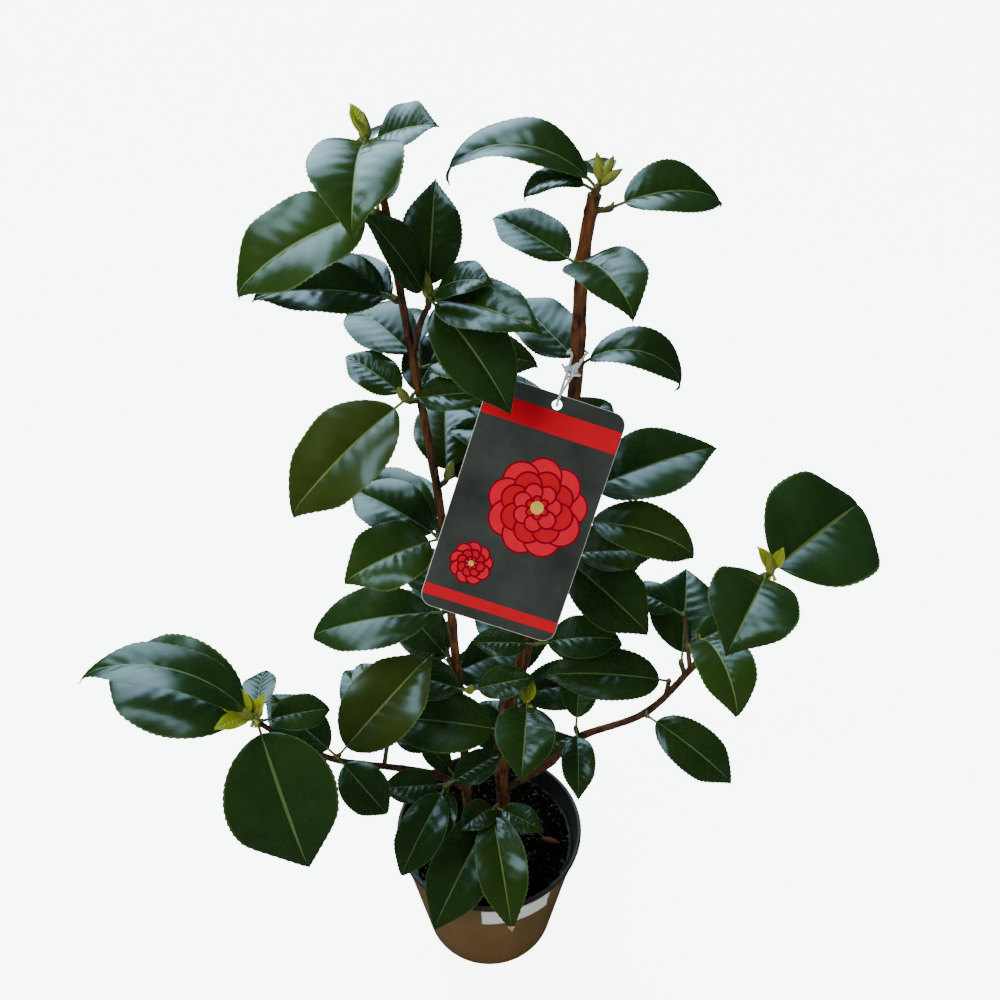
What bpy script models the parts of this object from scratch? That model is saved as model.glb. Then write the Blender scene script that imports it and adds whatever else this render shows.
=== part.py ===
"""A young camellia shrub, tied with its picture label, in a round nursery pot.

Metres, +Z up. The origin is the centre of the pot's flat underside, +X is the plant's right
and -Y is its front. Sizes below are in millimetres and are multiplied by MM where they are used.
"""
from collections import namedtuple
from math import cos, pi, radians, sin, tau
import random

import bmesh
import bpy
from mathutils import Matrix, Vector
from mathutils.bvhtree import BVHTree

MM = 0.001
CLEARANCE = 0.3

# pot
RIM_RADIUS = 70.0
FOOT_RADIUS = 50.0
POT_HEIGHT = 108.0
POT_WALL = 1.4
LIP_WIDTH = 2.6
LIP_HEIGHT = 3.0
COLLAR_HEIGHT = 17.0
COLLAR_STEP = 1.0
LIP_BEVEL = 0.8
FOOT_BEVEL = 2.0
COLLAR_SLOPE = 0.6
POT_SIDES = 48
DRAIN_HOLES = 6
DRAIN_RADIUS = 4.0
DRAIN_RING = 36.0
DRAIN_SIDES = 12
DRAIN_CUT = 8.0

# compost
COMPOST_LEVEL = 95.0
COMPOST_CROWN = 2.0
COMPOST_RINGS = ((45.0, 0.5), (25.0, CLEARANCE), (0.0, CLEARANCE))

# picture label and its string
LABEL_WIDTH = 75.0
LABEL_LENGTH = 128.0
LABEL_THICKNESS = 0.8
LABEL_CORNER = 7.0
LABEL_HOLE_RADIUS = 2.6
LABEL_HOLE_INSET = 5.5
LABEL_HOLE = Vector((38.0, -17.0, 478.0))
LABEL_LEAN = 27.0
LABEL_TURN = -18.0
LABEL_CORNER_STEPS = 3
STRING_RADIUS = 0.7
STRING_SIDES = 6
STRING_HEIGHT = 496.0
STRING_SLACK = 1.2
STRING_BEARINGS = (-50, 0, 50, 90, 130, 180, 230)
STRING_FRONT = (3.2, 2.6)
STRING_BACK = (3.4, 2.6)

# leaves and twigs
LEAF_RATIO = 0.52
LEAF_STATIONS = (0.0, 0.16, 0.36, 0.58, 0.8, 1.0)
LEAF_THICKNESS = 0.0125
LEAF_FOLD = 18.0
LEAF_TIP_HALF = 0.6
BLADE_RISE_POWER = 0.6
BLADE_FALL_POWER = 0.8
BLADE_WIDEST = 0.43
PETIOLE = 7.0
PETIOLE_FREE = 0.8
LIGHT_TURN = 32.0
PETIOLE_RADIUS = 0.8
TWIG_RADIUS = 1.5
TWIG_TIP_RADIUS = 1.0
TWIG_SIDES = 5
TWIG_MARGIN = 0.3
LEAF_MARGIN = 0.5
NUDGE_REACHES = (5, 10, 16, 24)
NUDGE_WAYS = ((0, 1), (1, 0), (-1, 0), (0, -1), (1, 1), (-1, 1), (1, -1), (-1, -1))
BUD_LENGTH = 13.0
BUD_RADIUS = 2.6
BUD_SIDES = 5
BUD_SHAPE = ((0.0, 0.4), (0.25, 0.9), (0.6, 1.0), (1.0, 0.25))
BUD_INSET = 0.94

# stems and boughs
LIMB_SIDES = 9
LIMB_STEPS = 3
FLARE_SHARE = 1 / 14
LEAST_SINE = 0.35
PATH_SHARES = 400

Limb = namedtuple("Limb", "route base_radius tip_radius flare")
Leaf = namedtuple("Leaf", "along bearing rise length droop ratio roll", defaults=(LEAF_RATIO, 0.0))
Bud = namedtuple("Bud", "along bearing rise")
Spray = namedtuple("Spray", "limb at tip leaves buds", defaults=((),))
Filler = namedtuple("Filler", "limb at tip bearing count length seed")

# each stem rises from the compost; each bough starts beside the limb that carries it
STEMS = {
    "main_stem": Limb(
        ((11, 0, 95), (10, 0, 150), (9, 0, 212), (22, 0, 272), (38, 0, 385), (48, 0, 472), (49, 0, 547),
         (53, 0, 581)),
        5.0, 3.2, 1.5),
    "left_stem": Limb(
        ((-15, 0, 95), (-16, 0, 133), (-17, 0, 190), (-23, 0, 331), (-27, 0, 406), (-38, 0, 500),
         (-47, 0, 580),
         (-51, 0, 596)),
        3.8, 1.5, 1.4),
}
BOUGHS = {
    "right_bough": ("main_stem", 0.11,
                    Limb(((41, -5, 181), (62, -10, 216), (103, -20, 251), (126, -30, 301), (139, -40, 342),
                          (151, -49, 388)), 3.0, 1.5, 1.0)),
    "left_bough": ("left_stem", 0.11,
                   Limb(((-40, -8, 176), (-66, -22, 200), (-95, -52, 243), (-113, -80, 293),
                         (-124, -90, 318)), 2.8, 1.4, 1.0)),
    "fork_bough": ("left_stem", 0.8, Limb(((-32, -4, 518), (-28, -6, 527)), 1.7, 1.4, 1.0)),
}

# a spray's stem carries on from its limb's end, or leaves the limb's side and leans forward
END = "end"
SIDE = "side"
FORWARD_LEAN = 0.45

# bearing 0 is the plant's right, 90 its back, 180 its left and 270 its front; rise is above level
SPRAYS = {
    "crown_left": Spray("left_stem", END, (-53, -2, 607), (
        Leaf(0.9, 270, 8, 68, 60, 0.58), Leaf(0.8, 326, 26, 34, 26, 0.8, 14),
        Leaf(0.6, 112, -4, 58, 36, 0.62)),
        (Bud(1.0, 100, 70),)),
    "shoulder_left": Spray("left_stem", SIDE, (-50, -9, 576), (
        Leaf(0.9, 214, -3, 77, 56, 0.56, -4), Leaf(0.6, 100, 12, 48, 20))),
    "shoulder_left_low": Spray("left_stem", SIDE, (-44, -8, 532), (
        Leaf(0.9, 204, 22, 66, 36, 0.46), Leaf(0.7, 164, 22, 46, 16), Leaf(0.6, 136, 8, 54, 20),
        Leaf(0.3, 132, -8, 46, 20))),
    "fork_spray": Spray("fork_bough", END, (-27, -9, 534), (
        Leaf(0.7, 212, 62, 50, 14, 0.6, -20), Leaf(0.6, 320, 14, 62, 36), Leaf(0.9, 312, -6, 68, 54),
        Leaf(0.9, 342, 26, 33, 56, 0.76), Leaf(0.8, 84, 60, 54, 10, 0.54)),
        (Bud(1.0, 100, 70), Bud(0.5, 20, 40))),
    "collar_left": Spray("left_stem", SIDE, (-43, -4, 474), (
        Leaf(0.9, 216, -24, 86, 32, 0.54), Leaf(0.5, 145, 22, 44, 16), Leaf(0.8, 346, 14, 44, 16),
        Leaf(0.4, 60, 18, 60, 16)), (Bud(0.9, 240, 60),)),
    "waist_back": Spray("left_stem", SIDE, (-22, 5, 418), (
        Leaf(0.8, 93, 28, 60, 22, 0.6), Leaf(0.5, 40, 10, 54, 30)), (Bud(1.0, 20, 70),)),
    "waist_left": Spray("left_stem", SIDE, (-27, -9, 385), (
        Leaf(0.6, 154, 22, 66, 38), Leaf(0.9, 216, 8, 58, 44, 0.68))),
    "knee_left": Spray("left_stem", SIDE, (-27, -12, 331), (
        Leaf(0.9, 192, 7, 88, 56, 0.44), Leaf(0.5, 110, 20, 56, 30))),
    "knee_low": Spray("left_stem", SIDE, (-11, -14, 264), (
        Leaf(0.9, 168, 12, 54, 22), Leaf(0.8, 12, 24, 40, 30)), (Bud(0.9, 300, 60),)),
    "crown_right": Spray("main_stem", END, (56, -1, 589), (
        Leaf(0.3, 192, 46, 86, 112, 0.36), Leaf(0.9, 95, 2, 42, 12), Leaf(0.1, 198, 30, 36, 104, 0.4)),
        (Bud(1.0, 130, 70), Bud(0.9, 20, 62), Bud(0.7, 355, 34))),
    "crown_right_side": Spray("main_stem", SIDE, (61, -3, 576), (
        Leaf(0.9, 4, 21, 60, 64, 0.52),)),
    "shoulder_right": Spray("main_stem", SIDE, (44, -15, 553), (
        Leaf(0.1, 144, 20, 52, 14), Leaf(0.9, 290, 26, 54, 80, 0.64))),
    "upper_right": Spray("main_stem", SIDE, (52, 7, 490), (
        Leaf(0.7, 328, 44, 68, 136, 0.4), Leaf(0.9, 120, 8, 56, 16), Leaf(0.5, 127, 12, 62, 16))),
    "middle_right": Spray("main_stem", SIDE, (57, -3, 414), (
        Leaf(0.9, 8, 24, 80, 30),)),
    "middle_right_front": Spray("main_stem", SIDE, (56, -11, 399), (
        Leaf(0.9, 338, 13, 74, 80, 0.42),)),
    "middle_right_low": Spray("main_stem", SIDE, (49, -7, 372), (
        Leaf(0.9, 350, 16, 50, 34), Leaf(0.5, 324, -22, 66, 20, 0.6))),
    "low_right": Spray("main_stem", SIDE, (33, -5, 298), (
        Leaf(0.9, 346, 28, 52, 66), Leaf(0.7, 10, -5, 58, 22), Leaf(0.8, 188, 12, 36, 20))),
    "low_centre": Spray("main_stem", SIDE, (27, -16, 256), (
        Leaf(0.9, 266, 18, 55, 66, 0.66),), (Bud(0.9, 90, 78),)),
    "low_front": Spray("main_stem", SIDE, (10, -24, 238), (
        Leaf(0.9, 186, 20, 80, 38, 0.5),)),
    "bough_left_tip": Spray("left_bough", END, (-125, -98, 332), (
        Leaf(0.3, 298, -44, 83, 22, 0.7), Leaf(0.6, 172, 26, 92, 44, 0.56),
        Leaf(0.9, 180, 64, 104, 104, 0.28, 30), Leaf(0.2, 24, -6, 38, 26), Leaf(0.6, 96, 4, 36, 20)),
        (Bud(1.0, 200, 50), Bud(0.6, 20, 66))),
    "bough_left_middle": Spray("left_bough", SIDE, (-92, -56, 252), (
        Leaf(0.9, 34, 38, 82, 14, 0.56), Leaf(0.4, 152, 30, 56, 14), Leaf(0.4, 318, -22, 44, 40, 0.62))),
    "bough_right_low": Spray("right_bough", SIDE, (60, -8, 224), (
        Leaf(0.9, 82, 36, 50, 18), Leaf(0.5, 269, 8, 45, 70, 0.48))),
    "bough_right_middle": Spray("right_bough", SIDE, (117, -16, 277), (
        Leaf(0.9, 186, 22, 80, 44, 0.42),)),
    "bough_right_under": Spray("right_bough", SIDE, (103, -28, 257), (
        Leaf(0.9, 322, -8, 66, 50, 0.46),)),
    "bough_right_upper": Spray("right_bough", SIDE, (124, -42, 337), (
        Leaf(0.9, 280, 40, 62, 120, 0.5),)),
    "bough_right_inner": Spray("right_bough", SIDE, (121, -22, 300), (
        Leaf(0.7, 80, 36, 60, 18, 0.74),)),
    "bough_right_tip": Spray("right_bough", END, (156, -50, 393), (
        Leaf(0.4, 246, 20, 60, 70, 0.76), Leaf(0.6, 37, 13, 85, 18, 0.8)), (Bud(1.0, 140, 70),)),
    "foot_left": Spray("left_stem", SIDE, (-30, -28, 186), (
        Leaf(0.8, 190, 8, 42, 20), Leaf(0.9, 244, -10, 64, 56, 0.46), Leaf(0.7, 262, -4, 40, 56),
        Leaf(0.4, 140, 30, 32, 10), Leaf(0.9, 20, 26, 40, 20))),
    "foot_front": Spray("main_stem", SIDE, (2, -15, 143), (
        Leaf(0.7, 246, 2, 92, 68, 0.46), Leaf(0.9, 278, 12, 84, 74, 0.4), Leaf(0.2, 244, 26, 36, 60, 0.6),
        Leaf(0.4, 320, 20, 36, 50))),
}

# the plant's back, where the same rule places the leaves in a spiral round a middle bearing
FILLERS = {
    "back_foot": Filler("main_stem", SIDE, (22, 20, 172), 70, 4, 52, 2),
    "back_low": Filler("main_stem", SIDE, (26, 34, 236), 84, 4, 70, 3),
    "back_middle": Filler("main_stem", SIDE, (44, 44, 340), 84, 5, 74, 5),
    "back_upper": Filler("main_stem", SIDE, (40, 30, 438), 122, 4, 56, 8),
    "back_left_low": Filler("left_stem", SIDE, (-30, 34, 262), 78, 5, 68, 12),
    "back_left_middle": Filler("left_stem", SIDE, (-34, 42, 368), 88, 5, 72, 21),
    "back_left_upper": Filler("left_stem", SIDE, (-36, 26, 492), 66, 4, 60, 34),
    "back_bough_left": Filler("left_bough", SIDE, (-64, -12, 244), 80, 3, 50, 9),
    "back_bough_right": Filler("right_bough", SIDE, (124, -4, 322), 96, 2, 38, 14),
}
SPIRAL_TURN = 137.5
SPIRAL_FAN = 150
SPIRAL_RISE = (8, 34)
SPIRAL_STRAY = 9.0
SPIRAL_LENGTHS = (0.85, 1.1)
SPIRAL_DROOP = (24, 56)
SPIRAL_ALONG = (0.35, 0.98)

COLOURS = {
    "pot": ((0.125, 0.090, 0.066), 0.62),
    "compost": ((0.012, 0.009, 0.007), 0.95),
    "bark": ((0.135, 0.070, 0.040), 0.8),
    "leaf": ((0.020, 0.060, 0.018), 0.35),
    "label": ((0.030, 0.026, 0.028), 0.4),
    "string": ((0.75, 0.74, 0.70), 0.8),
}


def clear_scene():
    """Takes away whatever the new file holds."""
    for thing in list(bpy.data.objects):
        bpy.data.objects.remove(thing, do_unlink=True)


def material(name):
    """The Principled material of one finish, made once."""
    made = bpy.data.materials.get(name)
    if made:
        return made
    colour, roughness = COLOURS[name]
    made = bpy.data.materials.new(name)
    made.use_nodes = True
    shader = made.node_tree.nodes["Principled BSDF"]
    shader.inputs["Base Color"].default_value = (*colour, 1.0)
    shader.inputs["Roughness"].default_value = roughness
    return made


def mesh_object(name, verts, faces, finish):
    """A scaled object from points in millimetres, with its faces turned outwards."""
    mesh = bpy.data.meshes.new(name)
    mesh.from_pydata([Vector(v) * MM for v in verts], [], faces)
    shape = bmesh.new()
    shape.from_mesh(mesh)
    bmesh.ops.recalc_face_normals(shape, faces=shape.faces)
    shape.to_mesh(mesh)
    shape.free()
    mesh.materials.append(material(finish))
    made = bpy.data.objects.new(name, mesh)
    bpy.context.scene.collection.objects.link(made)
    return made


# ---------------------------------------------------------------- paths and tubes

def smooth_path(points, per_span=4, closed=False):
    """Points of a Catmull-Rom curve through the given ones."""
    points = [Vector(p) for p in points]
    count = len(points)
    spans = count if closed else count - 1

    def at(i):
        """The given point of an index, wrapped or held at the ends."""
        return points[i % count] if closed else points[min(max(i, 0), count - 1)]

    path = []
    for i in range(spans):
        a, b, c, d = at(i - 1), at(i), at(i + 1), at(i + 2)
        for k in range(per_span):
            t = k / per_span
            path.append(0.5 * (2 * b + (c - a) * t + (2 * a - 5 * b + 4 * c - d) * t * t
                               + (3 * b - a - 3 * c + d) * t ** 3))
    if not closed:
        path.append(points[-1])
    return path


def point_along(path, share):
    """The point and the direction at a share of the path's length."""
    lengths = [(b - a).length for a, b in zip(path, path[1:])]
    left = share * sum(lengths)
    for a, b, length in zip(path, path[1:], lengths):
        if left <= length:
            return a.lerp(b, left / length), (b - a).normalized()
        left -= length
    return path[-1].copy(), (path[-1] - path[-2]).normalized()


def tube(path, radii, sides, closed=False):
    """Points and faces of a tube with flat ends, or of a ring if it is closed."""
    count = len(path)
    rings = []
    side = None
    for i, centre in enumerate(path):
        ahead = path[(i + 1) % count] if closed else path[min(i + 1, count - 1)]
        behind = path[(i - 1) % count] if closed else path[max(i - 1, 0)]
        run = (ahead - behind).normalized()
        if side is None:
            side = run.orthogonal().normalized()
        side = (side - run * side.dot(run)).normalized()
        up = run.cross(side)
        rings.append([centre + (side * cos(tau * k / sides) + up * sin(tau * k / sides)) * radii[i]
                      for k in range(sides)])
    verts = [v for ring in rings for v in ring]
    faces = []
    for i in range(count if closed else count - 1):
        here, there = i * sides, ((i + 1) % count) * sides
        for k in range(sides):
            n = (k + 1) % sides
            faces.append((here + k, here + n, there + n, there + k))
    if not closed:
        faces.append(tuple(reversed(range(sides))))
        faces.append(tuple(range((count - 1) * sides, count * sides)))
    return verts, faces


# ---------------------------------------------------------------- leaves

def blade_width(u):
    """Half the blade's width at a share of its length: broad below the middle, drawn to a tip."""
    widest = BLADE_WIDEST ** BLADE_RISE_POWER * (1 - BLADE_WIDEST) ** BLADE_FALL_POWER
    return max(u, 0.0) ** BLADE_RISE_POWER * max(1 - u, 0.0) ** BLADE_FALL_POWER / widest


def leaf_solid(root, leaf, inflate=0.0, petiole=True):
    """A closed leaf: a thin stalk rooted in the twig, then a folded and drooping blade."""
    bearing, rise = radians(leaf.bearing), radians(leaf.rise)
    run = Vector((cos(rise) * cos(bearing), cos(rise) * sin(bearing), sin(rise)))
    side = Vector((sin(bearing), -cos(bearing), 0.0))
    side.rotate(Matrix.Rotation(radians(leaf.roll + LIGHT_TURN * cos(bearing)), 3, run))
    thick = leaf.length * LEAF_THICKNESS + inflate
    skipped = 0.0 if petiole else PETIOLE_FREE
    point = Vector(root) + run * PETIOLE * skipped
    sections = [(point.copy(), run.copy(), side.copy(), PETIOLE_RADIUS + inflate / 2)]
    point += run * PETIOLE * (1.0 - skipped)
    before = 0.0
    for u in LEAF_STATIONS:
        step = (u - before) * leaf.length
        turn = Matrix.Rotation(-radians(leaf.droop) * (u - before), 3, side)
        point += run * step * 0.5
        run = (turn @ run).normalized()
        point += run * step * 0.5
        before = u
        least = LEAF_TIP_HALF if u == 1.0 else PETIOLE_RADIUS
        half = max(leaf.length * leaf.ratio / 2 * blade_width(u), least)
        sections.append((point.copy(), run.copy(), side.copy(), half + inflate / 2))
    return folded_solid(sections, thick)


def folded_solid(sections, thick):
    """The closed solid of a blade from its sections: two halves that rise from the rib."""
    fold = radians(LEAF_FOLD)
    verts = []
    for centre, run, side, half in sections:
        normal = side.cross(run)
        out = side * cos(fold) * half
        lift = normal * sin(fold) * half
        half_thick = normal * thick / 2
        for base in (half_thick, -half_thick):
            verts += [centre - out + lift + base, centre + base, centre + out + lift + base]
    faces = []
    count = len(sections)
    for i in range(count - 1):
        a, b = i * 6, (i + 1) * 6
        faces += [(a, a + 1, b + 1, b), (a + 1, a + 2, b + 2, b + 1),
                  (a + 3, b + 3, b + 4, a + 4), (a + 4, b + 4, b + 5, a + 5),
                  (a, b, b + 3, a + 3), (a + 2, a + 5, b + 5, b + 2)]
    last = (count - 1) * 6
    faces += [(0, 3, 4, 1), (1, 4, 5, 2), (last, last + 1, last + 4, last + 3),
              (last + 1, last + 2, last + 5, last + 4)]
    return verts, faces


def bud_solid(root, bud):
    """A pointed bud of five sides, rooted in its twig."""
    bearing, rise = radians(bud.bearing), radians(bud.rise)
    run = Vector((cos(rise) * cos(bearing), cos(rise) * sin(bearing), sin(rise)))
    path = [root + run * BUD_LENGTH * share for share, _ in BUD_SHAPE]
    return tube(path, [BUD_RADIUS * width for _, width in BUD_SHAPE], BUD_SIDES)


# ---------------------------------------------------------------- what keeps the pieces apart

class Space:
    """The room already taken, as triangle trees by node."""

    def __init__(self):
        """Starts with nothing taken."""
        self.taken = []

    def add(self, node, verts, faces):
        """Takes the room of a shape for a node."""
        self.taken.append((node, BVHTree.FromPolygons([Vector(v) for v in verts], faces)))

    def is_free(self, verts, faces, but=()):
        """Whether a shape meets nothing that is taken, the named nodes left aside."""
        tree = BVHTree.FromPolygons([Vector(v) for v in verts], faces)
        return not any(tree.overlap(other) for node, other in self.taken if node not in but)


def nudges():
    """Small changes of bearing and rise, the smallest first."""
    yield 0, 0
    for reach in NUDGE_REACHES:
        for turn, lift in NUDGE_WAYS:
            yield turn * reach, lift * reach


# ---------------------------------------------------------------- pot, compost, label

def collar_radius():
    """The pot's outer radius at the foot of its collar."""
    cone = FOOT_RADIUS + (RIM_RADIUS - FOOT_RADIUS) * (POT_HEIGHT - COLLAR_HEIGHT) / POT_HEIGHT
    return cone - COLLAR_SLOPE


def pot_profile():
    """The wall's outline from the middle of the underside to the middle of the inner floor."""
    collar = POT_HEIGHT - COLLAR_HEIGHT
    return [(0.0, 0.0), (FOOT_RADIUS - FOOT_BEVEL, 0.0), (FOOT_RADIUS, FOOT_BEVEL),
            (collar_radius() - COLLAR_STEP, collar - 1.0), (collar_radius(), collar + COLLAR_SLOPE),
            (RIM_RADIUS - 1.0, POT_HEIGHT - LIP_HEIGHT), (RIM_RADIUS, POT_HEIGHT - LIP_HEIGHT + LIP_BEVEL),
            (RIM_RADIUS, POT_HEIGHT - LIP_BEVEL), (RIM_RADIUS - LIP_BEVEL, POT_HEIGHT),
            (RIM_RADIUS - LIP_WIDTH, POT_HEIGHT), (RIM_RADIUS - LIP_WIDTH - 0.4, POT_HEIGHT - 1.2),
            (collar_radius() - COLLAR_STEP - POT_WALL, collar - 1.0),
            (FOOT_RADIUS - POT_WALL, POT_WALL + 1.0), (FOOT_RADIUS - POT_WALL - FOOT_BEVEL, POT_WALL),
            (0.0, POT_WALL)]


def inner_radius(z):
    """The pot's inside radius at a height above its floor."""
    collar = POT_HEIGHT - COLLAR_HEIGHT - 1.0
    low = FOOT_RADIUS - POT_WALL
    high = collar_radius() - COLLAR_STEP - POT_WALL
    top = RIM_RADIUS - LIP_WIDTH - 0.4
    if z <= collar:
        return low + (high - low) * (z - POT_WALL - 1.0) / (collar - POT_WALL - 1.0)
    return high + (top - high) * (z - collar) / (POT_HEIGHT - 1.2 - collar)


def turned(profile, sides):
    """Points and faces of a profile turned about the Z axis, whose ends lie on it."""
    verts = [(0.0, 0.0, profile[0][1])]
    rings = profile[1:-1]
    for radius, z in rings:
        verts += [(radius * cos(tau * k / sides), radius * sin(tau * k / sides), z) for k in range(sides)]
    verts.append((0.0, 0.0, profile[-1][1]))
    faces = []
    for k in range(sides):
        n = (k + 1) % sides
        faces.append((0, 1 + n, 1 + k))
        for i in range(len(rings) - 1):
            a, b = 1 + i * sides, 1 + (i + 1) * sides
            faces.append((a + k, a + n, b + n, b + k))
        last = 1 + (len(rings) - 1) * sides
        faces.append((last + k, last + n, len(verts) - 1))
    return verts, faces


def drain_cutter():
    """The plugs that cut the drain holes, as one hidden object."""
    shape = bmesh.new()
    for i in range(DRAIN_HOLES):
        turn = tau * i / DRAIN_HOLES
        place = Matrix.Translation(Vector((DRAIN_RING * cos(turn), DRAIN_RING * sin(turn), 0.0)) * MM)
        bmesh.ops.create_cone(shape, cap_ends=True, segments=DRAIN_SIDES, radius1=DRAIN_RADIUS * MM,
                              radius2=DRAIN_RADIUS * MM, depth=DRAIN_CUT * MM, matrix=place)
    mesh = bpy.data.meshes.new("drain_cutter")
    shape.to_mesh(mesh)
    shape.free()
    cutter = bpy.data.objects.new("drain_cutter", mesh)
    bpy.context.scene.collection.objects.link(cutter)
    cutter.hide_render = True
    cutter.display_type = "WIRE"
    return cutter


def make_pot(space):
    """The open pot with its collar and lip, whose floor has drain holes."""
    verts, faces = turned(pot_profile(), POT_SIDES)
    pot = mesh_object("pot", verts, faces, "pot")
    space.add("pot", verts, faces)
    cut = pot.modifiers.new("drain_holes", "BOOLEAN")
    cut.operation = "DIFFERENCE"
    cut.object = drain_cutter()


def make_compost(space):
    """The root ball and compost that fill the pot, a little crowned at the top."""
    clear = CLEARANCE + 0.1
    low = POT_WALL + CLEARANCE
    collar = POT_HEIGHT - COLLAR_HEIGHT - 1.0
    profile = [(0.0, low), (FOOT_RADIUS - POT_WALL - FOOT_BEVEL - clear, low),
               (inner_radius(low + 1.4) - clear, low + 1.4), (inner_radius(collar) - clear, collar),
               (inner_radius(COMPOST_LEVEL - COMPOST_CROWN) - clear, COMPOST_LEVEL - COMPOST_CROWN)]
    profile += [(radius, COMPOST_LEVEL - drop) for radius, drop in COMPOST_RINGS]
    verts, faces = turned(profile, POT_SIDES)
    mesh_object("compost", verts, faces, "compost")
    space.add("compost", verts, faces)


def label_axes():
    """The label's right, up and front directions as it hangs, leaning back and turned a little."""
    up = Vector((0.0, sin(radians(LABEL_LEAN)), cos(radians(LABEL_LEAN))))
    right = Vector((1.0, 0.0, 0.0))
    front = right.cross(up)
    turn = Matrix.Rotation(radians(LABEL_TURN), 3, front)
    return turn @ right, turn @ up, front


def label_outline():
    """The card's outline round its middle, anticlockwise, with rounded corners."""
    half_wide, half_long = LABEL_WIDTH / 2 - LABEL_CORNER, LABEL_LENGTH / 2 - LABEL_CORNER
    corners = ((half_wide, half_long), (-half_wide, half_long),
               (-half_wide, -half_long), (half_wide, -half_long))
    outline = []
    for i, (x, y) in enumerate(corners):
        for k in range(LABEL_CORNER_STEPS + 1):
            turn = pi / 2 * (i + k / LABEL_CORNER_STEPS)
            outline.append((x + LABEL_CORNER * cos(turn), y + LABEL_CORNER * sin(turn)))
    return outline


def make_label(space):
    """The hanging card with its hole."""
    right, up, front = label_axes()
    outline = label_outline()
    hole_y = LABEL_LENGTH / 2 - LABEL_HOLE_INSET
    centre = LABEL_HOLE - up * hole_y
    count = len(outline)
    ring = []
    for k in range(count):
        turn = tau * (k + 0.5) / count
        ring.append((LABEL_HOLE_RADIUS * cos(turn), hole_y + LABEL_HOLE_RADIUS * sin(turn)))
    verts = []
    for offset in (LABEL_THICKNESS / 2, -LABEL_THICKNESS / 2):
        for x, y in outline + ring:
            verts.append(centre + right * x + up * y + front * offset)
    faces = []
    back = 2 * count
    for k in range(count):
        n = (k + 1) % count
        outer, inner = k, count + k
        outer_next, inner_next = n, count + n
        faces.append((outer, outer_next, inner_next, inner))
        faces.append((outer + back, inner + back, inner_next + back, outer_next + back))
        faces.append((outer, outer + back, outer_next + back, outer_next))
        faces.append((inner, inner_next, inner_next + back, inner + back))
    mesh_object("label", verts, faces, "label")
    space.add("label", verts, faces)


def make_string(space, limbs):
    """The string loop: through the label's hole, up each face, and round behind the main stem."""
    _, up, front = label_axes()
    rise = up * LABEL_HOLE_INSET
    path, tip_radius, _ = limbs["main_stem"]
    stem = nearest_on(path, STRING_HEIGHT)
    reach = tip_radius + STRING_RADIUS + STRING_SLACK
    route = [LABEL_HOLE, LABEL_HOLE + front * STRING_FRONT[0], LABEL_HOLE + front * STRING_FRONT[1] + rise]
    for turn in STRING_BEARINGS:
        route.append(stem + Vector((cos(radians(turn)), sin(radians(turn)), 0.0)) * reach)
    route += [LABEL_HOLE - front * STRING_BACK[0] + rise, LABEL_HOLE - front * STRING_BACK[1]]
    path = smooth_path(route, 2, closed=True)
    verts, faces = tube(path, [STRING_RADIUS] * len(path), STRING_SIDES, closed=True)
    mesh_object("label_string", verts, faces, "string")
    space.add("label_string", verts, faces)


def nearest_on(path, height):
    """The point of a rising path at a height."""
    return min(path, key=lambda p: abs(p.z - height)).copy()


# ---------------------------------------------------------------- stems, boughs and sprays

def taper(limb, count):
    """The radius at each point of a limb, with the flare at its foot."""
    radii = []
    for i in range(count):
        share = i / (count - 1)
        radius = limb.base_radius + (limb.tip_radius - limb.base_radius) * share
        flare = 1 + (limb.flare - 1) * max(0.0, 1 - share / FLARE_SHARE)
        radii.append(radius * flare)
    return radii


def start_beside(carrier, carrier_radius, ahead, own_radius):
    """Where a limb starts so that its flat end stands clear of the limb that carries it."""
    point, run = carrier
    way = (Vector(ahead) - point).normalized()
    cosine = abs(way.dot(run))
    sine = max((1 - cosine * cosine) ** 0.5, LEAST_SINE)
    return point + way * (carrier_radius + CLEARANCE + own_radius * cosine) / sine


def make_limb(name, limb, start, limbs, space):
    """One tapering limb along a smooth path, kept for what it carries."""
    route = ([start] if start is not None else []) + [Vector(p) for p in limb.route]
    path = smooth_path(route, LIMB_STEPS)
    radii = taper(limb, len(path))
    verts, faces = tube(path, radii, LIMB_SIDES)
    mesh_object(name, verts, faces, "bark")
    space.add(name, verts, faces)
    limbs[name] = (path, limb.tip_radius, radii)


def limb_radius(limbs, name, share):
    """The limb's radius at a share of its length."""
    path, tip_radius, radii = limbs[name]
    here = point_along(path, share)[0]
    ends = sorted(range(len(path)), key=lambda i: (path[i] - here).length)[:2]
    near, far = ((path[i] - here).length for i in ends)
    weight = far / (near + far)
    return radii[ends[0]] * weight + radii[ends[1]] * (1 - weight)


def make_limbs(space):
    """The two stems and the boughs, by name: each one's path, tip radius and radii."""
    limbs = {}
    for name, limb in STEMS.items():
        make_limb(name, limb, None, limbs, space)
    for name, (carrier, at, limb) in BOUGHS.items():
        place = point_along(limbs[carrier][0], at)
        start = start_beside(place, limb_radius(limbs, carrier, at), limb.route[0], limb.base_radius)
        make_limb(name, limb, start, limbs, space)
    return limbs


def nearest_share(path, point):
    """The share of the path's length at which it passes nearest to a point."""
    shares = [i / PATH_SHARES for i in range(PATH_SHARES + 1)]
    return min(shares, key=lambda share: (point_along(path, share)[0] - point).length)


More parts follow.
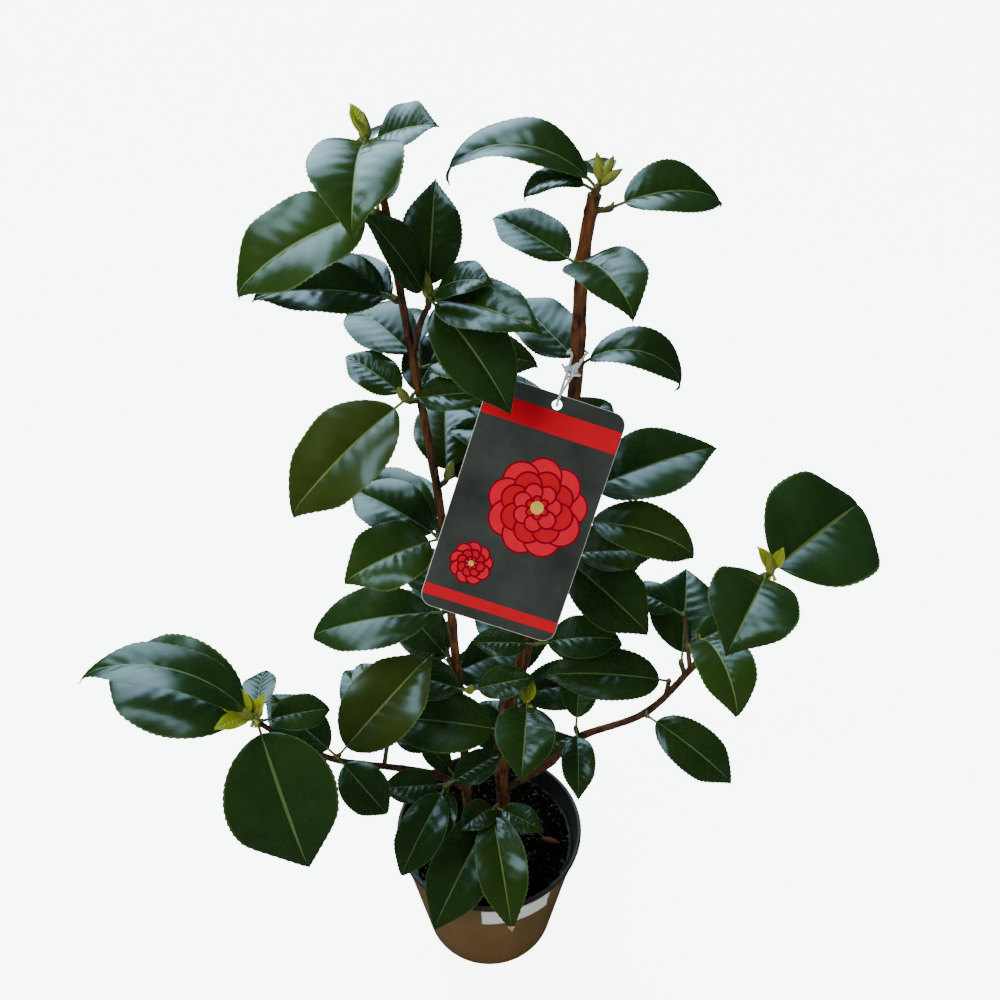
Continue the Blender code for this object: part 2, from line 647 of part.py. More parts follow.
def twig_root(limbs, limb, at, tip):
    """Where a spray's stem starts: past the limb's end, or beside the limb."""
    path = limbs[limb][0]
    if at == END:
        point, run = point_along(path, 1.0)
        bend = sin(run.angle(Vector(tip) - point))
        return point + run * (CLEARANCE + (TWIG_RADIUS + limbs[limb][1]) * bend)
    share = nearest_share(path, Vector(tip))
    reach = (point_along(path, share)[0] - Vector(tip)).length
    length = sum((b - a).length for a, b in zip(path, path[1:]))
    share = max(share - FORWARD_LEAN * reach / length, 0.0)
    return start_beside(point_along(path, share), limb_radius(limbs, limb, share), tip, TWIG_RADIUS)


def spiral_leaves(filler):
    """The leaves of a spray at the back, by the seeded spiral rule."""
    chance = random.Random(filler.seed)
    leaves = []
    for i in range(filler.count):
        share = i / max(filler.count - 1, 1)
        along = SPIRAL_ALONG[0] + (SPIRAL_ALONG[1] - SPIRAL_ALONG[0]) * share
        turn = (i * SPIRAL_TURN) % SPIRAL_FAN - SPIRAL_FAN / 2
        bearing = filler.bearing + turn + chance.uniform(-SPIRAL_STRAY, SPIRAL_STRAY)
        rise = chance.uniform(*SPIRAL_RISE)
        length = filler.length * chance.uniform(*SPIRAL_LENGTHS)
        leaves.append(Leaf(along, bearing, rise, length, chance.uniform(*SPIRAL_DROOP)))
    return leaves


def place_leaf(name, root, leaf, space, own):
    """The leaf, nudged until it is clear of all that is placed, or None where it never is."""
    for turn, lift in nudges():
        tried = leaf._replace(bearing=leaf.bearing + turn, rise=leaf.rise + lift)
        test = leaf_solid(root, tried, LEAF_MARGIN, petiole=False)
        if space.is_free(*test, but=(name,)) and own.is_free(*test):
            stalk = leaf_solid(root, tried, LEAF_MARGIN)
            if space.is_free(*stalk, but=(name,)):
                own.add(name, *test)
                return leaf_solid(root, tried)
    return None


def join_spray(name, pieces):
    """One Boolean union of a spray's twig, leaves and buds."""
    group = bpy.data.collections.new(name + "_pieces")
    bpy.context.scene.collection.children.link(group)
    for i, (verts, faces) in enumerate(pieces[1:]):
        piece = mesh_object(f"{name}_piece_{i}", verts, faces, "leaf")
        bpy.context.scene.collection.objects.unlink(piece)
        group.objects.link(piece)
    spray = mesh_object(name, *pieces[0], "leaf")
    join = spray.modifiers.new("join", "BOOLEAN")
    join.operation = "UNION"
    join.operand_type = "COLLECTION"
    join.collection = group
    join.solver = "EXACT"
    bpy.context.view_layer.update()
    merged = bpy.data.meshes.new_from_object(spray.evaluated_get(bpy.context.evaluated_depsgraph_get()))
    spray.modifiers.clear()
    spray.data = merged
    for piece in list(group.objects):
        bpy.data.objects.remove(piece, do_unlink=True)
    bpy.data.collections.remove(group)


def make_spray(name, root, tip, leaves, buds, space):
    """A spray: one stem, and the leaves and buds that find room on it."""
    path = [root, root.lerp(Vector(tip), 0.5), Vector(tip)]
    twig = tube(path, [TWIG_RADIUS, (TWIG_RADIUS + TWIG_TIP_RADIUS) / 2, TWIG_TIP_RADIUS], TWIG_SIDES)
    pieces = [twig]
    own = Space()
    for leaf in leaves:
        start = root.lerp(Vector(tip), leaf.along)
        solid = place_leaf(name, start, leaf, space, own)
        if solid:
            pieces.append(solid)
    for bud in buds:
        solid = bud_solid(root.lerp(Vector(tip), bud.along * BUD_INSET), bud)
        if space.is_free(*solid, but=(name,)):
            pieces.append(solid)
    join_spray(name, pieces)
    for verts, faces in pieces:
        space.add(name, verts, faces)


def make_sprays(limbs, space):
    """Every spray's stem is placed first, so that no leaf runs through another spray's stem."""
    jobs = []
    for name, spray in SPRAYS.items():
        root = twig_root(limbs, spray.limb, spray.at, spray.tip)
        jobs.append((name, root, spray.tip, spray.leaves, spray.buds))
    for name, filler in FILLERS.items():
        root = twig_root(limbs, filler.limb, filler.at, filler.tip)
        jobs.append((name, root, filler.tip, spiral_leaves(filler), ()))
    for name, root, tip, leaves, buds in jobs:
        space.add(name, *tube([root, Vector(tip)], [TWIG_RADIUS + TWIG_MARGIN] * 2, TWIG_SIDES))
    for job in jobs:
        make_spray(*job, space)


def main():
    """Builds the pot, compost, limbs, label, string and sprays."""
    clear_scene()
    space = Space()
    make_pot(space)
    make_compost(space)
    limbs = make_limbs(space)
    make_label(space)
    make_string(space, limbs)
    make_sprays(limbs, space)


main()
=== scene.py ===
"""Looks of a young camellia shrub in its nursery pot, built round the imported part.

The limbs, sprays and leaves follow the same sizes and the same rule as the part. Sizes are in
millimetres and become metres when a mesh is made. +X is the plant's right and -Y is its front.
"""
from __future__ import annotations

import logging
import random
from collections.abc import Iterator, Sequence
from dataclasses import dataclass, field, replace
from enum import Enum
from math import cos, exp, pi, radians, sin, tau

import bmesh
import bpy
from mathutils import Matrix, Vector, noise
from mathutils.bvhtree import BVHTree


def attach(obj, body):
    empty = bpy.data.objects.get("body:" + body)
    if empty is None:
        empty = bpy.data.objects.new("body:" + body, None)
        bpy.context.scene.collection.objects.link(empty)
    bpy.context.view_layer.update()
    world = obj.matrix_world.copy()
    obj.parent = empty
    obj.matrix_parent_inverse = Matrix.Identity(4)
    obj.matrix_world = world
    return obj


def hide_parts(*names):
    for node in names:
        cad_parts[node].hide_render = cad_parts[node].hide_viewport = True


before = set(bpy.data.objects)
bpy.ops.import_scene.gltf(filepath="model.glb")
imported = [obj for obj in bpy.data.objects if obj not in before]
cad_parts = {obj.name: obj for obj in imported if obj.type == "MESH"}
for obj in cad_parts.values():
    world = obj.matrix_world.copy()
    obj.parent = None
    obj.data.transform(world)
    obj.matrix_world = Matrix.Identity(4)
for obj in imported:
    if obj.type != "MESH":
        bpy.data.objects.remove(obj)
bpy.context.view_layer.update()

log = logging.getLogger("camellia")
MM = 0.001
BODY = "root"

Faces = list[tuple[int, ...]]
Solid = tuple[list[Vector], Faces]
Route = Sequence[Vector]
Lines = Sequence[tuple[Route, Sequence[float]]]
Pair = tuple[float, float]
Triple = tuple[float, float, float]
Mesh = bpy.types.Mesh
NodeTree = bpy.types.NodeTree
Socket = bpy.types.NodeSocket


class Joint(Enum):
    """How a spray's stem leaves its limb."""

    END = "end"
    SIDE = "side"


class Tint(Enum):
    """The leaf greens: shade, light and vein colour of each."""

    DEEP = ((0.0074, 0.0208, 0.0036), (0.0185, 0.0460, 0.0076), (0.090, 0.145, 0.036))
    # the fresh and olive greens are partly the leaves' own lighter tone and partly painted light: the paler
    # green of leaves that catch the light and the yellow-green of light shining through backlit leaves
    FRESH = ((0.0135, 0.0320, 0.0036), (0.0280, 0.0610, 0.0076), (0.140, 0.205, 0.050))
    OLIVE = ((0.0175, 0.0300, 0.0034), (0.0330, 0.0540, 0.0062), (0.120, 0.165, 0.036))
    YOUNG = ((0.150, 0.200, 0.004), (0.260, 0.310, 0.010), (0.380, 0.420, 0.060))
    DRY = ((0.300, 0.210, 0.100), (0.560, 0.450, 0.260), (0.500, 0.400, 0.220))


@dataclass(frozen=True)
class Limb:
    """A tapering limb: the points it passes, its radii and the flare at its foot."""

    route: tuple[Triple, ...]
    base_radius: float
    tip_radius: float
    flare: float


@dataclass(frozen=True)
class Leaf:
    """A leaf: its share along the twig, how it points, and its size and bend."""

    along: float
    bearing: float
    rise: float
    length: float
    droop: float
    ratio: float = 0.52
    roll: float = 0.0


@dataclass(frozen=True)
class Bud:
    """A bud: its share along the twig and how it points."""

    along: float
    bearing: float
    rise: float


@dataclass(frozen=True)
class Spray:
    """A spray: the limb that carries it, how it leaves it, where its twig ends, and what it bears."""

    limb: str
    at: Joint
    tip: Triple
    leaves: tuple[Leaf, ...]
    buds: tuple[Bud, ...] = ()


@dataclass(frozen=True)
class Filler:
    """A spray at the back, whose leaves the seeded spiral rule places."""

    limb: str
    at: Joint
    tip: Triple
    bearing: float
    count: int
    length: float
    seed: int


@dataclass(frozen=True)
class GrownLimb:
    """A limb after growth: its path, the radius at its tip and the radius at each point."""

    path: list[Vector]
    tip_radius: float
    radii: list[float]


@dataclass(frozen=True)
class PlacedLeaf:
    """A leaf that found room, with the point of the twig where it is rooted."""

    root: Vector
    leaf: Leaf


END, SIDE = Joint.END, Joint.SIDE


# ---- the plant's own sizes

# each stem rises from the compost; each bough starts beside the limb that carries it
STEMS = {
    "main_stem": Limb(
        ((11, 0, 95), (10, 0, 150), (9, 0, 212), (22, 0, 272), (38, 0, 385), (48, 0, 472), (49, 0, 547),
         (53, 0, 581)),
        5.0, 3.2, 1.5),
    "left_stem": Limb(
        ((-15, 0, 95), (-16, 0, 133), (-17, 0, 190), (-23, 0, 331), (-27, 0, 406), (-38, 0, 500),
         (-47, 0, 580), (-51, 0, 596)),
        3.8, 1.5, 1.4),
}
BOUGHS = {
    "right_bough": ("main_stem", 0.11,
                    Limb(((41, -5, 181), (62, -10, 216), (103, -20, 251), (126, -30, 301), (139, -40, 342),
                          (151, -49, 388)), 3.0, 1.5, 1.0)),
    "left_bough": ("left_stem", 0.11,
                   Limb(((-40, -8, 176), (-66, -22, 200), (-95, -52, 243), (-113, -80, 293),
                         (-124, -90, 318)), 2.8, 1.4, 1.0)),
    "fork_bough": ("left_stem", 0.8, Limb(((-32, -4, 518), (-28, -6, 527)), 1.7, 1.4, 1.0)),
}

# bearing 0 is the plant's right, 90 its back, 180 its left and 270 its front; rise is above level
SPRAYS = {
    "crown_left": Spray("left_stem", END, (-53, -2, 607), (
        Leaf(0.9, 270, 8, 68, 60, 0.58), Leaf(0.8, 326, 26, 34, 26, 0.8, 14),
        Leaf(0.6, 112, -4, 58, 36, 0.62)),
        (Bud(1.0, 100, 70),)),
    "shoulder_left": Spray("left_stem", SIDE, (-50, -9, 576), (
        Leaf(0.9, 214, -3, 77, 56, 0.56, -4), Leaf(0.6, 100, 12, 48, 20))),
    "shoulder_left_low": Spray("left_stem", SIDE, (-44, -8, 532), (
        Leaf(0.9, 204, 22, 66, 36, 0.46), Leaf(0.7, 164, 22, 46, 16), Leaf(0.6, 136, 8, 54, 20),
        Leaf(0.3, 132, -8, 46, 20))),
    "fork_spray": Spray("fork_bough", END, (-27, -9, 534), (
        Leaf(0.7, 212, 62, 50, 14, 0.6, -20), Leaf(0.6, 320, 14, 62, 36), Leaf(0.9, 312, -6, 68, 54),
        Leaf(0.9, 342, 26, 33, 56, 0.76), Leaf(0.8, 84, 60, 54, 10, 0.54)),
        (Bud(1.0, 100, 70), Bud(0.5, 20, 40))),
    "collar_left": Spray("left_stem", SIDE, (-43, -4, 474), (
        Leaf(0.9, 216, -24, 86, 32, 0.54), Leaf(0.5, 145, 22, 44, 16), Leaf(0.8, 346, 14, 44, 16),
        Leaf(0.4, 60, 18, 60, 16)), (Bud(0.9, 240, 60),)),
    "waist_back": Spray("left_stem", SIDE, (-22, 5, 418), (
        Leaf(0.8, 93, 28, 60, 22, 0.6), Leaf(0.5, 40, 10, 54, 30)), (Bud(1.0, 20, 70),)),
    "waist_left": Spray("left_stem", SIDE, (-27, -9, 385), (
        Leaf(0.6, 154, 22, 66, 38), Leaf(0.9, 216, 8, 58, 44, 0.68))),
    "knee_left": Spray("left_stem", SIDE, (-27, -12, 331), (
        Leaf(0.9, 192, 7, 88, 56, 0.44), Leaf(0.5, 110, 20, 56, 30))),
    "knee_low": Spray("left_stem", SIDE, (-11, -14, 264), (
        Leaf(0.9, 168, 12, 54, 22), Leaf(0.8, 12, 24, 40, 30)), (Bud(0.9, 300, 60),)),
    "crown_right": Spray("main_stem", END, (56, -1, 589), (
        Leaf(0.3, 192, 46, 86, 112, 0.36), Leaf(0.9, 95, 2, 42, 12), Leaf(0.1, 198, 30, 36, 104, 0.4)),
        (Bud(1.0, 130, 70), Bud(0.9, 20, 62), Bud(0.7, 355, 34))),
    "crown_right_side": Spray("main_stem", SIDE, (61, -3, 576), (
        Leaf(0.9, 4, 21, 60, 64, 0.52),)),
    "shoulder_right": Spray("main_stem", SIDE, (44, -15, 553), (
        Leaf(0.1, 144, 20, 52, 14), Leaf(0.9, 290, 26, 54, 80, 0.64))),
    "upper_right": Spray("main_stem", SIDE, (52, 7, 490), (
        Leaf(0.7, 328, 44, 68, 136, 0.4), Leaf(0.9, 120, 8, 56, 16), Leaf(0.5, 127, 12, 62, 16))),
    "middle_right": Spray("main_stem", SIDE, (57, -3, 414), (
        Leaf(0.9, 8, 24, 80, 30),)),
    "middle_right_front": Spray("main_stem", SIDE, (56, -11, 399), (
        Leaf(0.9, 338, 13, 74, 80, 0.42),)),
    "middle_right_low": Spray("main_stem", SIDE, (49, -7, 372), (
        Leaf(0.9, 350, 16, 50, 34), Leaf(0.5, 324, -22, 66, 20, 0.6))),
    "low_right": Spray("main_stem", SIDE, (33, -5, 298), (
        Leaf(0.9, 346, 28, 52, 66), Leaf(0.7, 10, -5, 58, 22), Leaf(0.8, 188, 12, 36, 20))),
    "low_centre": Spray("main_stem", SIDE, (27, -16, 256), (
        Leaf(0.9, 266, 18, 55, 66, 0.66),), (Bud(0.9, 90, 78),)),
    "low_front": Spray("main_stem", SIDE, (10, -24, 238), (
        Leaf(0.9, 186, 20, 80, 38, 0.5),)),
    "bough_left_tip": Spray("left_bough", END, (-125, -98, 332), (
        Leaf(0.3, 298, -44, 83, 22, 0.7), Leaf(0.6, 172, 26, 92, 44, 0.56),
        Leaf(0.9, 180, 64, 104, 104, 0.28, 30), Leaf(0.2, 24, -6, 38, 26), Leaf(0.6, 96, 4, 36, 20)),
        (Bud(1.0, 200, 50), Bud(0.6, 20, 66))),
    "bough_left_middle": Spray("left_bough", SIDE, (-92, -56, 252), (
        Leaf(0.9, 34, 38, 82, 14, 0.56), Leaf(0.4, 152, 30, 56, 14), Leaf(0.4, 318, -22, 44, 40, 0.62))),
    "bough_right_low": Spray("right_bough", SIDE, (60, -8, 224), (
        Leaf(0.9, 82, 36, 50, 18), Leaf(0.5, 269, 8, 45, 70, 0.48))),
    "bough_right_middle": Spray("right_bough", SIDE, (117, -16, 277), (
        Leaf(0.9, 186, 22, 80, 44, 0.42),)),
    "bough_right_under": Spray("right_bough", SIDE, (103, -28, 257), (
        Leaf(0.9, 322, -8, 66, 50, 0.46),)),
    "bough_right_upper": Spray("right_bough", SIDE, (124, -42, 337), (
        Leaf(0.9, 280, 40, 62, 120, 0.5),)),
    "bough_right_inner": Spray("right_bough", SIDE, (121, -22, 300), (
        Leaf(0.7, 80, 36, 60, 18, 0.74),)),
    "bough_right_tip": Spray("right_bough", END, (156, -50, 393), (
        Leaf(0.4, 246, 20, 60, 70, 0.76), Leaf(0.6, 37, 13, 85, 18, 0.8)), (Bud(1.0, 140, 70),)),
    "foot_left": Spray("left_stem", SIDE, (-30, -28, 186), (
        Leaf(0.8, 190, 8, 42, 20), Leaf(0.9, 244, -10, 64, 56, 0.46), Leaf(0.7, 262, -4, 40, 56),
        Leaf(0.4, 140, 30, 32, 10), Leaf(0.9, 20, 26, 40, 20))),
    "foot_front": Spray("main_stem", SIDE, (2, -15, 143), (
        Leaf(0.7, 246, 2, 92, 68, 0.46), Leaf(0.9, 278, 12, 84, 74, 0.4), Leaf(0.2, 244, 26, 36, 60, 0.6),
        Leaf(0.4, 320, 20, 36, 50))),
}

# the plant's back, where the same rule places the leaves in a spiral round a middle bearing
FILLERS = {
    "back_foot": Filler("main_stem", SIDE, (22, 20, 172), 70, 4, 52, 2),
    "back_low": Filler("main_stem", SIDE, (26, 34, 236), 84, 4, 70, 3),
    "back_middle": Filler("main_stem", SIDE, (44, 44, 340), 84, 5, 74, 5),
    "back_upper": Filler("main_stem", SIDE, (40, 30, 438), 122, 4, 56, 8),
    "back_left_low": Filler("left_stem", SIDE, (-30, 34, 262), 78, 5, 68, 12),
    "back_left_middle": Filler("left_stem", SIDE, (-34, 42, 368), 88, 5, 72, 21),
    "back_left_upper": Filler("left_stem", SIDE, (-36, 26, 492), 66, 4, 60, 34),
    "back_bough_left": Filler("left_bough", SIDE, (-64, -12, 244), 80, 3, 50, 9),
    "back_bough_right": Filler("right_bough", SIDE, (124, -4, 322), 96, 2, 38, 14),
}
SPIRAL_TURN = 137.5
SPIRAL_FAN = 150
SPIRAL_STRAY = 9
SPIRAL_LENGTHS = (0.85, 1.1)
SPIRAL_RISE = (8, 34)
SPIRAL_DROOP = (24, 56)
SPIRAL_ALONG = (0.35, 0.98)
FORWARD_LEAN = 0.45

# leaf and twig sizes of the rule
PETIOLE = 7.0
PETIOLE_RADIUS = 0.8
LIGHT_TURN = 32.0
FOLD = 18.0
LEAF_THICKNESS = 0.0125
LEAF_MARGIN = 0.5
LEAF_STATIONS = (0.0, 0.16, 0.36, 0.58, 0.8, 1.0)
TWIG_RADIUS = 1.5
TWIG_TIP_RADIUS = 1.0
TWIG_SIDES = 5
BUD_LENGTH = 13.0
BUD_RADIUS = 2.6
BUD_OUTLINE = ((0.0, 0.4), (0.25, 0.9), (0.6, 1.0), (1.0, 0.25))
BLADE_WIDEST = 0.43
BLADE_RISE = 0.6
BLADE_FALL = 0.8
STALK_HIDDEN = 0.8
TIP_HALF_WIDTH = 0.6
CLEARANCE = 0.3
NUDGES = (5, 10, 16, 24)


# ---- paths, tubes and meshes

def heading(bearing: float, rise: float) -> Vector:
    """The unit direction of a bearing and a rise, both in degrees."""
    turn, lift = radians(bearing), radians(rise)
    return Vector((cos(lift) * cos(turn), cos(lift) * sin(turn), sin(lift)))


def polar(radius: float, turn: float, height: float) -> Vector:
    """The point at a distance from the Z axis, a turn in radians and a height."""
    return Vector((radius * cos(turn), radius * sin(turn), height))


def smooth_path(points: Sequence, per_span: int = 4, closed: bool = False) -> list[Vector]:
    """Points of a Catmull-Rom curve through the given ones.

    Args:
        points: the points that the curve passes.
        per_span: how many points each span gets.
        closed: whether the curve comes back to its start.

    Returns:
        The curve's points.
    """
    points = [Vector(p) for p in points]
    count = len(points)
    spans = count if closed else count - 1

    def at(i: int) -> Vector:
        """The given point of an index, held or wrapped at the ends."""
        return points[i % count] if closed else points[min(max(i, 0), count - 1)]

    path = []
    for i in range(spans):
        a, b, c, d = at(i - 1), at(i), at(i + 1), at(i + 2)
        for k in range(per_span):
            t = k / per_span
            path.append(0.5 * (2 * b + (c - a) * t + (2 * a - 5 * b + 4 * c - d) * t * t
                               + (3 * b - a - 3 * c + d) * t ** 3))
    if not closed:
        path.append(points[-1])
    return path


def point_along(path: Route, share: float) -> tuple[Vector, Vector]:
    """The point and direction at a share of a path's length.

    Args:
        path: the path's points.
        share: 0 at its start and 1 at its end.

    Returns:
        The point and the unit direction there.
    """
    lengths = [(b - a).length for a, b in zip(path, path[1:])]
    left = share * sum(lengths)
    for a, b, length in zip(path, path[1:], lengths):
        if left <= length:
            return a.lerp(b, left / length), (b - a).normalized()
        left -= length
    return path[-1].copy(), (path[-1] - path[-2]).normalized()


def ring_round(centre: Vector, side: Vector, up: Vector, radius: float, count: int) -> list[Vector]:
    """Points in a ring round a centre, in the plane of two unit directions."""
    turns = [tau * k / count for k in range(count)]
    return [centre + (side * cos(turn) + up * sin(turn)) * radius for turn in turns]


def tube(path: Route, radii: Sequence[float], sides: int, closed: bool = False) -> Solid:
    """A tube with flat ends, or a ring where it is closed.

    Args:
        path: the centre line.
        radii: the radius at each point.
        sides: how many sides it has.
        closed: whether the path comes back to its start.

    Returns:
        Its points and faces.
    """
    count = len(path)
    rings: list[list[Vector]] = []
    side = None
    for i, centre in enumerate(path):
        ahead = path[(i + 1) % count] if closed else path[min(i + 1, count - 1)]
        behind = path[(i - 1) % count] if closed else path[max(i - 1, 0)]
        run = (ahead - behind).normalized()
        if side is None:
            side = run.orthogonal().normalized()
        side = (side - run * side.dot(run)).normalized()
        up = run.cross(side)
        rings.append(ring_round(centre, side, up, radii[i], sides))
    verts = [v for ring in rings for v in ring]
    faces: Faces = []
    for i in range(count if closed else count - 1):
        here, there = i * sides, ((i + 1) % count) * sides
        for k in range(sides):
            n = (k + 1) % sides
            faces.append((here + k, here + n, there + n, there + k))
    if not closed:
        faces.append(tuple(reversed(range(sides))))
        faces.append(tuple(range((count - 1) * sides, count * sides)))
    return verts, faces


def capped_rings(first: Vector, rings: Sequence[Route], last: Vector) -> Solid:
    """A closed skin from a point, over rings of as many points each, to another point.

    Args:
        first: the point that the first ring closes to.
        rings: the points of each ring.
        last: the point that the last ring closes to.

    Returns:
        Its points and faces.
    """
    sides = len(rings[0])
    verts = [first, *(v for ring in rings for v in ring), last]
    faces: Faces = []
    for k in range(sides):
        n = (k + 1) % sides
        faces.append((0, 1 + n, 1 + k))
        for i in range(len(rings) - 1):
            a, b = 1 + i * sides, 1 + (i + 1) * sides
            faces.append((a + k, a + n, b + n, b + k))
        end = 1 + (len(rings) - 1) * sides
        faces.append((end + k, end + n, len(verts) - 1))
    return verts, faces


def turned(profile: Sequence[Pair], sides: int) -> Solid:
    """A profile of radii and heights turned about the Z axis, whose two ends lie on it."""
    rings = [[polar(radius, tau * k / sides, z) for k in range(sides)] for radius, z in profile[1:-1]]
    return capped_rings(polar(0.0, 0.0, profile[0][1]), rings, polar(0.0, 0.0, profile[-1][1]))


@dataclass
class Gathered:
    """Points, faces, material numbers and UVs gathered from many shapes into one mesh."""

    verts: list[Vector] = field(default_factory=list)
    faces: Faces = field(default_factory=list)
    kinds: list[int] = field(default_factory=list)
    uvs: list[Pair] = field(default_factory=list)

    def add(self, solid: Solid, kind: int = 0, uvs: Sequence[Pair] | None = None) -> None:
        """Adds a shape.

        Args:
            solid: its points and faces.
            kind: the material number of its faces.
            uvs: one UV for each point, where the finish follows the surface.
        """
        start = len(self.verts)
        self.verts += solid[0]
        self.faces += [tuple(start + i for i in face) for face in solid[1]]
        self.kinds += [kind] * len(solid[1])
        self.uvs += list(uvs) if uvs else [(0.5, 0.5)] * len(solid[0])

    def mesh(self, name: str) -> Mesh:
        """The gathered mesh in metres, smooth, with its faces turned outwards.

        Args:
            name: the mesh's name.

        Returns:
            The mesh.
        """
        mesh = bpy.data.meshes.new(name)
        mesh.from_pydata([v * MM for v in self.verts], [], self.faces)
        mesh.polygons.foreach_set("material_index", self.kinds)
        layer = mesh.uv_layers.new(name="UVMap")
        corners = [0] * len(mesh.loops)
        mesh.loops.foreach_get("vertex_index", corners)
        layer.data.foreach_set("uv", [x for corner in corners for x in self.uvs[corner]])
        shape = bmesh.new()
        shape.from_mesh(mesh)
        bmesh.ops.recalc_face_normals(shape, faces=shape.faces)
        shape.to_mesh(mesh)
        shape.free()
        mesh.shade_smooth()
        return mesh


def solid_mesh(name: str, solid: Solid, kinds: Sequence[int] = ()) -> Mesh:
    """The mesh of one shape.

    Args:
        name: the mesh's name.
        solid: its points and faces.
        kinds: the material number of each face, where the piece has more than one finish.

    Returns:
        The mesh.
    """
    shape = Gathered()
    shape.add(solid)
    shape.kinds = list(kinds) or shape.kinds
    return shape.mesh(name)


def linked(name: str, data: bpy.types.ID) -> bpy.types.Object:
    """A new object with its data, put in the scene."""
    thing = bpy.data.objects.new(name, data)
    bpy.context.scene.collection.objects.link(thing)
    return thing


def show(name: str, mesh: Mesh, finishes: Sequence[Finish]) -> bpy.types.Object:
    """Puts a mesh in the scene with its finishes.

    Args:
        name: the piece's name.
        mesh: its mesh, already in place.
        finishes: its finishes in the order of the mesh's material numbers.

    Returns:
        The object.
    """
    piece = linked(name, mesh)
    mesh.name = name
    kinds = [0] * len(mesh.polygons)
    mesh.polygons.foreach_get("material_index", kinds)
    mesh.materials.clear()
    for finish in finishes:
        mesh.materials.append(finish.material())
    mesh.polygons.foreach_set("material_index", kinds)
    return piece


def plain_solid(mesh: Mesh, unit: float) -> Solid:
    """The points, measured in a unit of metres, and the faces of a mesh."""
    return [v.co / unit for v in mesh.vertices], [tuple(p.vertices) for p in mesh.polygons]


def evaluated_mesh(piece: bpy.types.Object) -> Mesh:
    """A plain mesh of an object as its modifiers leave it."""
    bpy.context.view_layer.update()
    return bpy.data.meshes.new_from_object(piece.evaluated_get(bpy.context.evaluated_depsgraph_get()))


def dress(piece: bpy.types.Object, nodes: Sequence[str] = ()) -> None:
    """Ties a piece to the frame and reports it.

    Args:
        piece: the finished piece.
        nodes: the CAD nodes that it stands for.
    """
    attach(piece, BODY)
    if nodes:
        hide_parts(*nodes)
    log.info("%s: %d faces", piece.name, len(piece.data.polygons))


def put(name: str, mesh: Mesh, finishes: Sequence[Finish], nodes: Sequence[str] = ()) -> None:
    """Shows a piece with its finishes and ties it to the frame."""
    dress(show(name, mesh, finishes), nodes)


# ---- the rule that places leaves

def blade_width(u: float) -> float:
    """Half the blade's width at a share of its length: broad below the middle, drawn to a tip."""
    widest = BLADE_WIDEST ** BLADE_RISE * (1 - BLADE_WIDEST) ** BLADE_FALL
    return max(u, 0.0) ** BLADE_RISE * max(1 - u, 0.0) ** BLADE_FALL / widest


def leaf_axes(leaf: Leaf) -> tuple[Vector, Vector]:
    """The direction in which a leaf sets out, and its side direction."""
    run, bearing = heading(leaf.bearing, leaf.rise), radians(leaf.bearing)
    side = Vector((sin(bearing), -cos(bearing), 0.0))
    side.rotate(Matrix.Rotation(radians(leaf.roll + LIGHT_TURN * cos(bearing)), 3, run))
    return run, side


def leaf_solid(root: Vector, leaf: Leaf, inflate: float = 0.0, petiole: bool = True) -> Solid:
    """The plain solid that claims a leaf's room.

    Args:
        root: the point of the twig that it grows from.
        leaf: the leaf.
        inflate: what is added to its width and thickness.
        petiole: whether its stalk is part of it.

    Returns:
        Its points and faces.
    """
    run, side = leaf_axes(leaf)
    thick = leaf.length * LEAF_THICKNESS + inflate
    fold = radians(FOLD)
    point = Vector(root) + run * (0.0 if petiole else PETIOLE * STALK_HIDDEN)
    sections = [(point.copy(), run.copy(), side.copy(), PETIOLE_RADIUS + inflate / 2)]
    point += run * PETIOLE * (1.0 if petiole else 1.0 - STALK_HIDDEN)
    before = 0.0
    for u in LEAF_STATIONS:
        step = (u - before) * leaf.length
        turn = Matrix.Rotation(-radians(leaf.droop) * (u - before), 3, side)
        point += run * step * 0.5
        run = (turn @ run).normalized()
        point += run * step * 0.5
        before = u
        least = TIP_HALF_WIDTH if u == 1.0 else PETIOLE_RADIUS
        half = max(leaf.length * leaf.ratio / 2 * blade_width(u), least)
        sections.append((point.copy(), run.copy(), side.copy(), half + inflate / 2))
    verts: list[Vector] = []
    for centre, run, side, half in sections:
        normal = side.cross(run)
        out = side * cos(fold) * half
        lift = normal * sin(fold) * half
        half_thick = normal * thick / 2
        for base in (half_thick, -half_thick):
            verts += [centre - out + lift + base, centre + base, centre + out + lift + base]
    faces: Faces = []
    for i in range(len(sections) - 1):
        a, b = i * 6, (i + 1) * 6
        faces += [(a, a + 1, b + 1, b), (a + 1, a + 2, b + 2, b + 1),
                  (a + 3, b + 3, b + 4, a + 4), (a + 4, b + 4, b + 5, a + 5),
                  (a, b, b + 3, a + 3), (a + 2, a + 5, b + 5, b + 2)]
    last = (len(sections) - 1) * 6
    faces += [(0, 3, 4, 1), (1, 4, 5, 2), (last, last + 1, last + 4, last + 3),
              (last + 1, last + 2, last + 5, last + 4)]
    return verts, faces


def bud_solid(root: Vector, bud: Bud) -> Solid:
    """The plain solid that claims a bud's room."""
    way = heading(bud.bearing, bud.rise)
    path = [root + way * BUD_LENGTH * share for share, _ in BUD_OUTLINE]
    return tube(path, [BUD_RADIUS * width for _, width in BUD_OUTLINE], TWIG_SIDES)


class Space:
    """The room already taken, as triangle trees by node."""

    def __init__(self) -> None:
        """Starts with nothing taken."""
        self.taken: list[tuple[str, BVHTree]] = []

    def add(self, node: str, verts: Sequence[Vector], faces: Faces) -> None:
        """Takes the room of a shape for a node."""
        self.taken.append((node, BVHTree.FromPolygons([Vector(v) for v in verts], faces)))

    def is_free(self, verts: Sequence[Vector], faces: Faces,
                but: Sequence[str] = ()) -> bool:
        """Whether a shape meets nothing that is taken, the named nodes left aside."""
        tree = BVHTree.FromPolygons([Vector(v) for v in verts], faces)
        return not any(tree.overlap(other) for node, other in self.taken if node not in but)


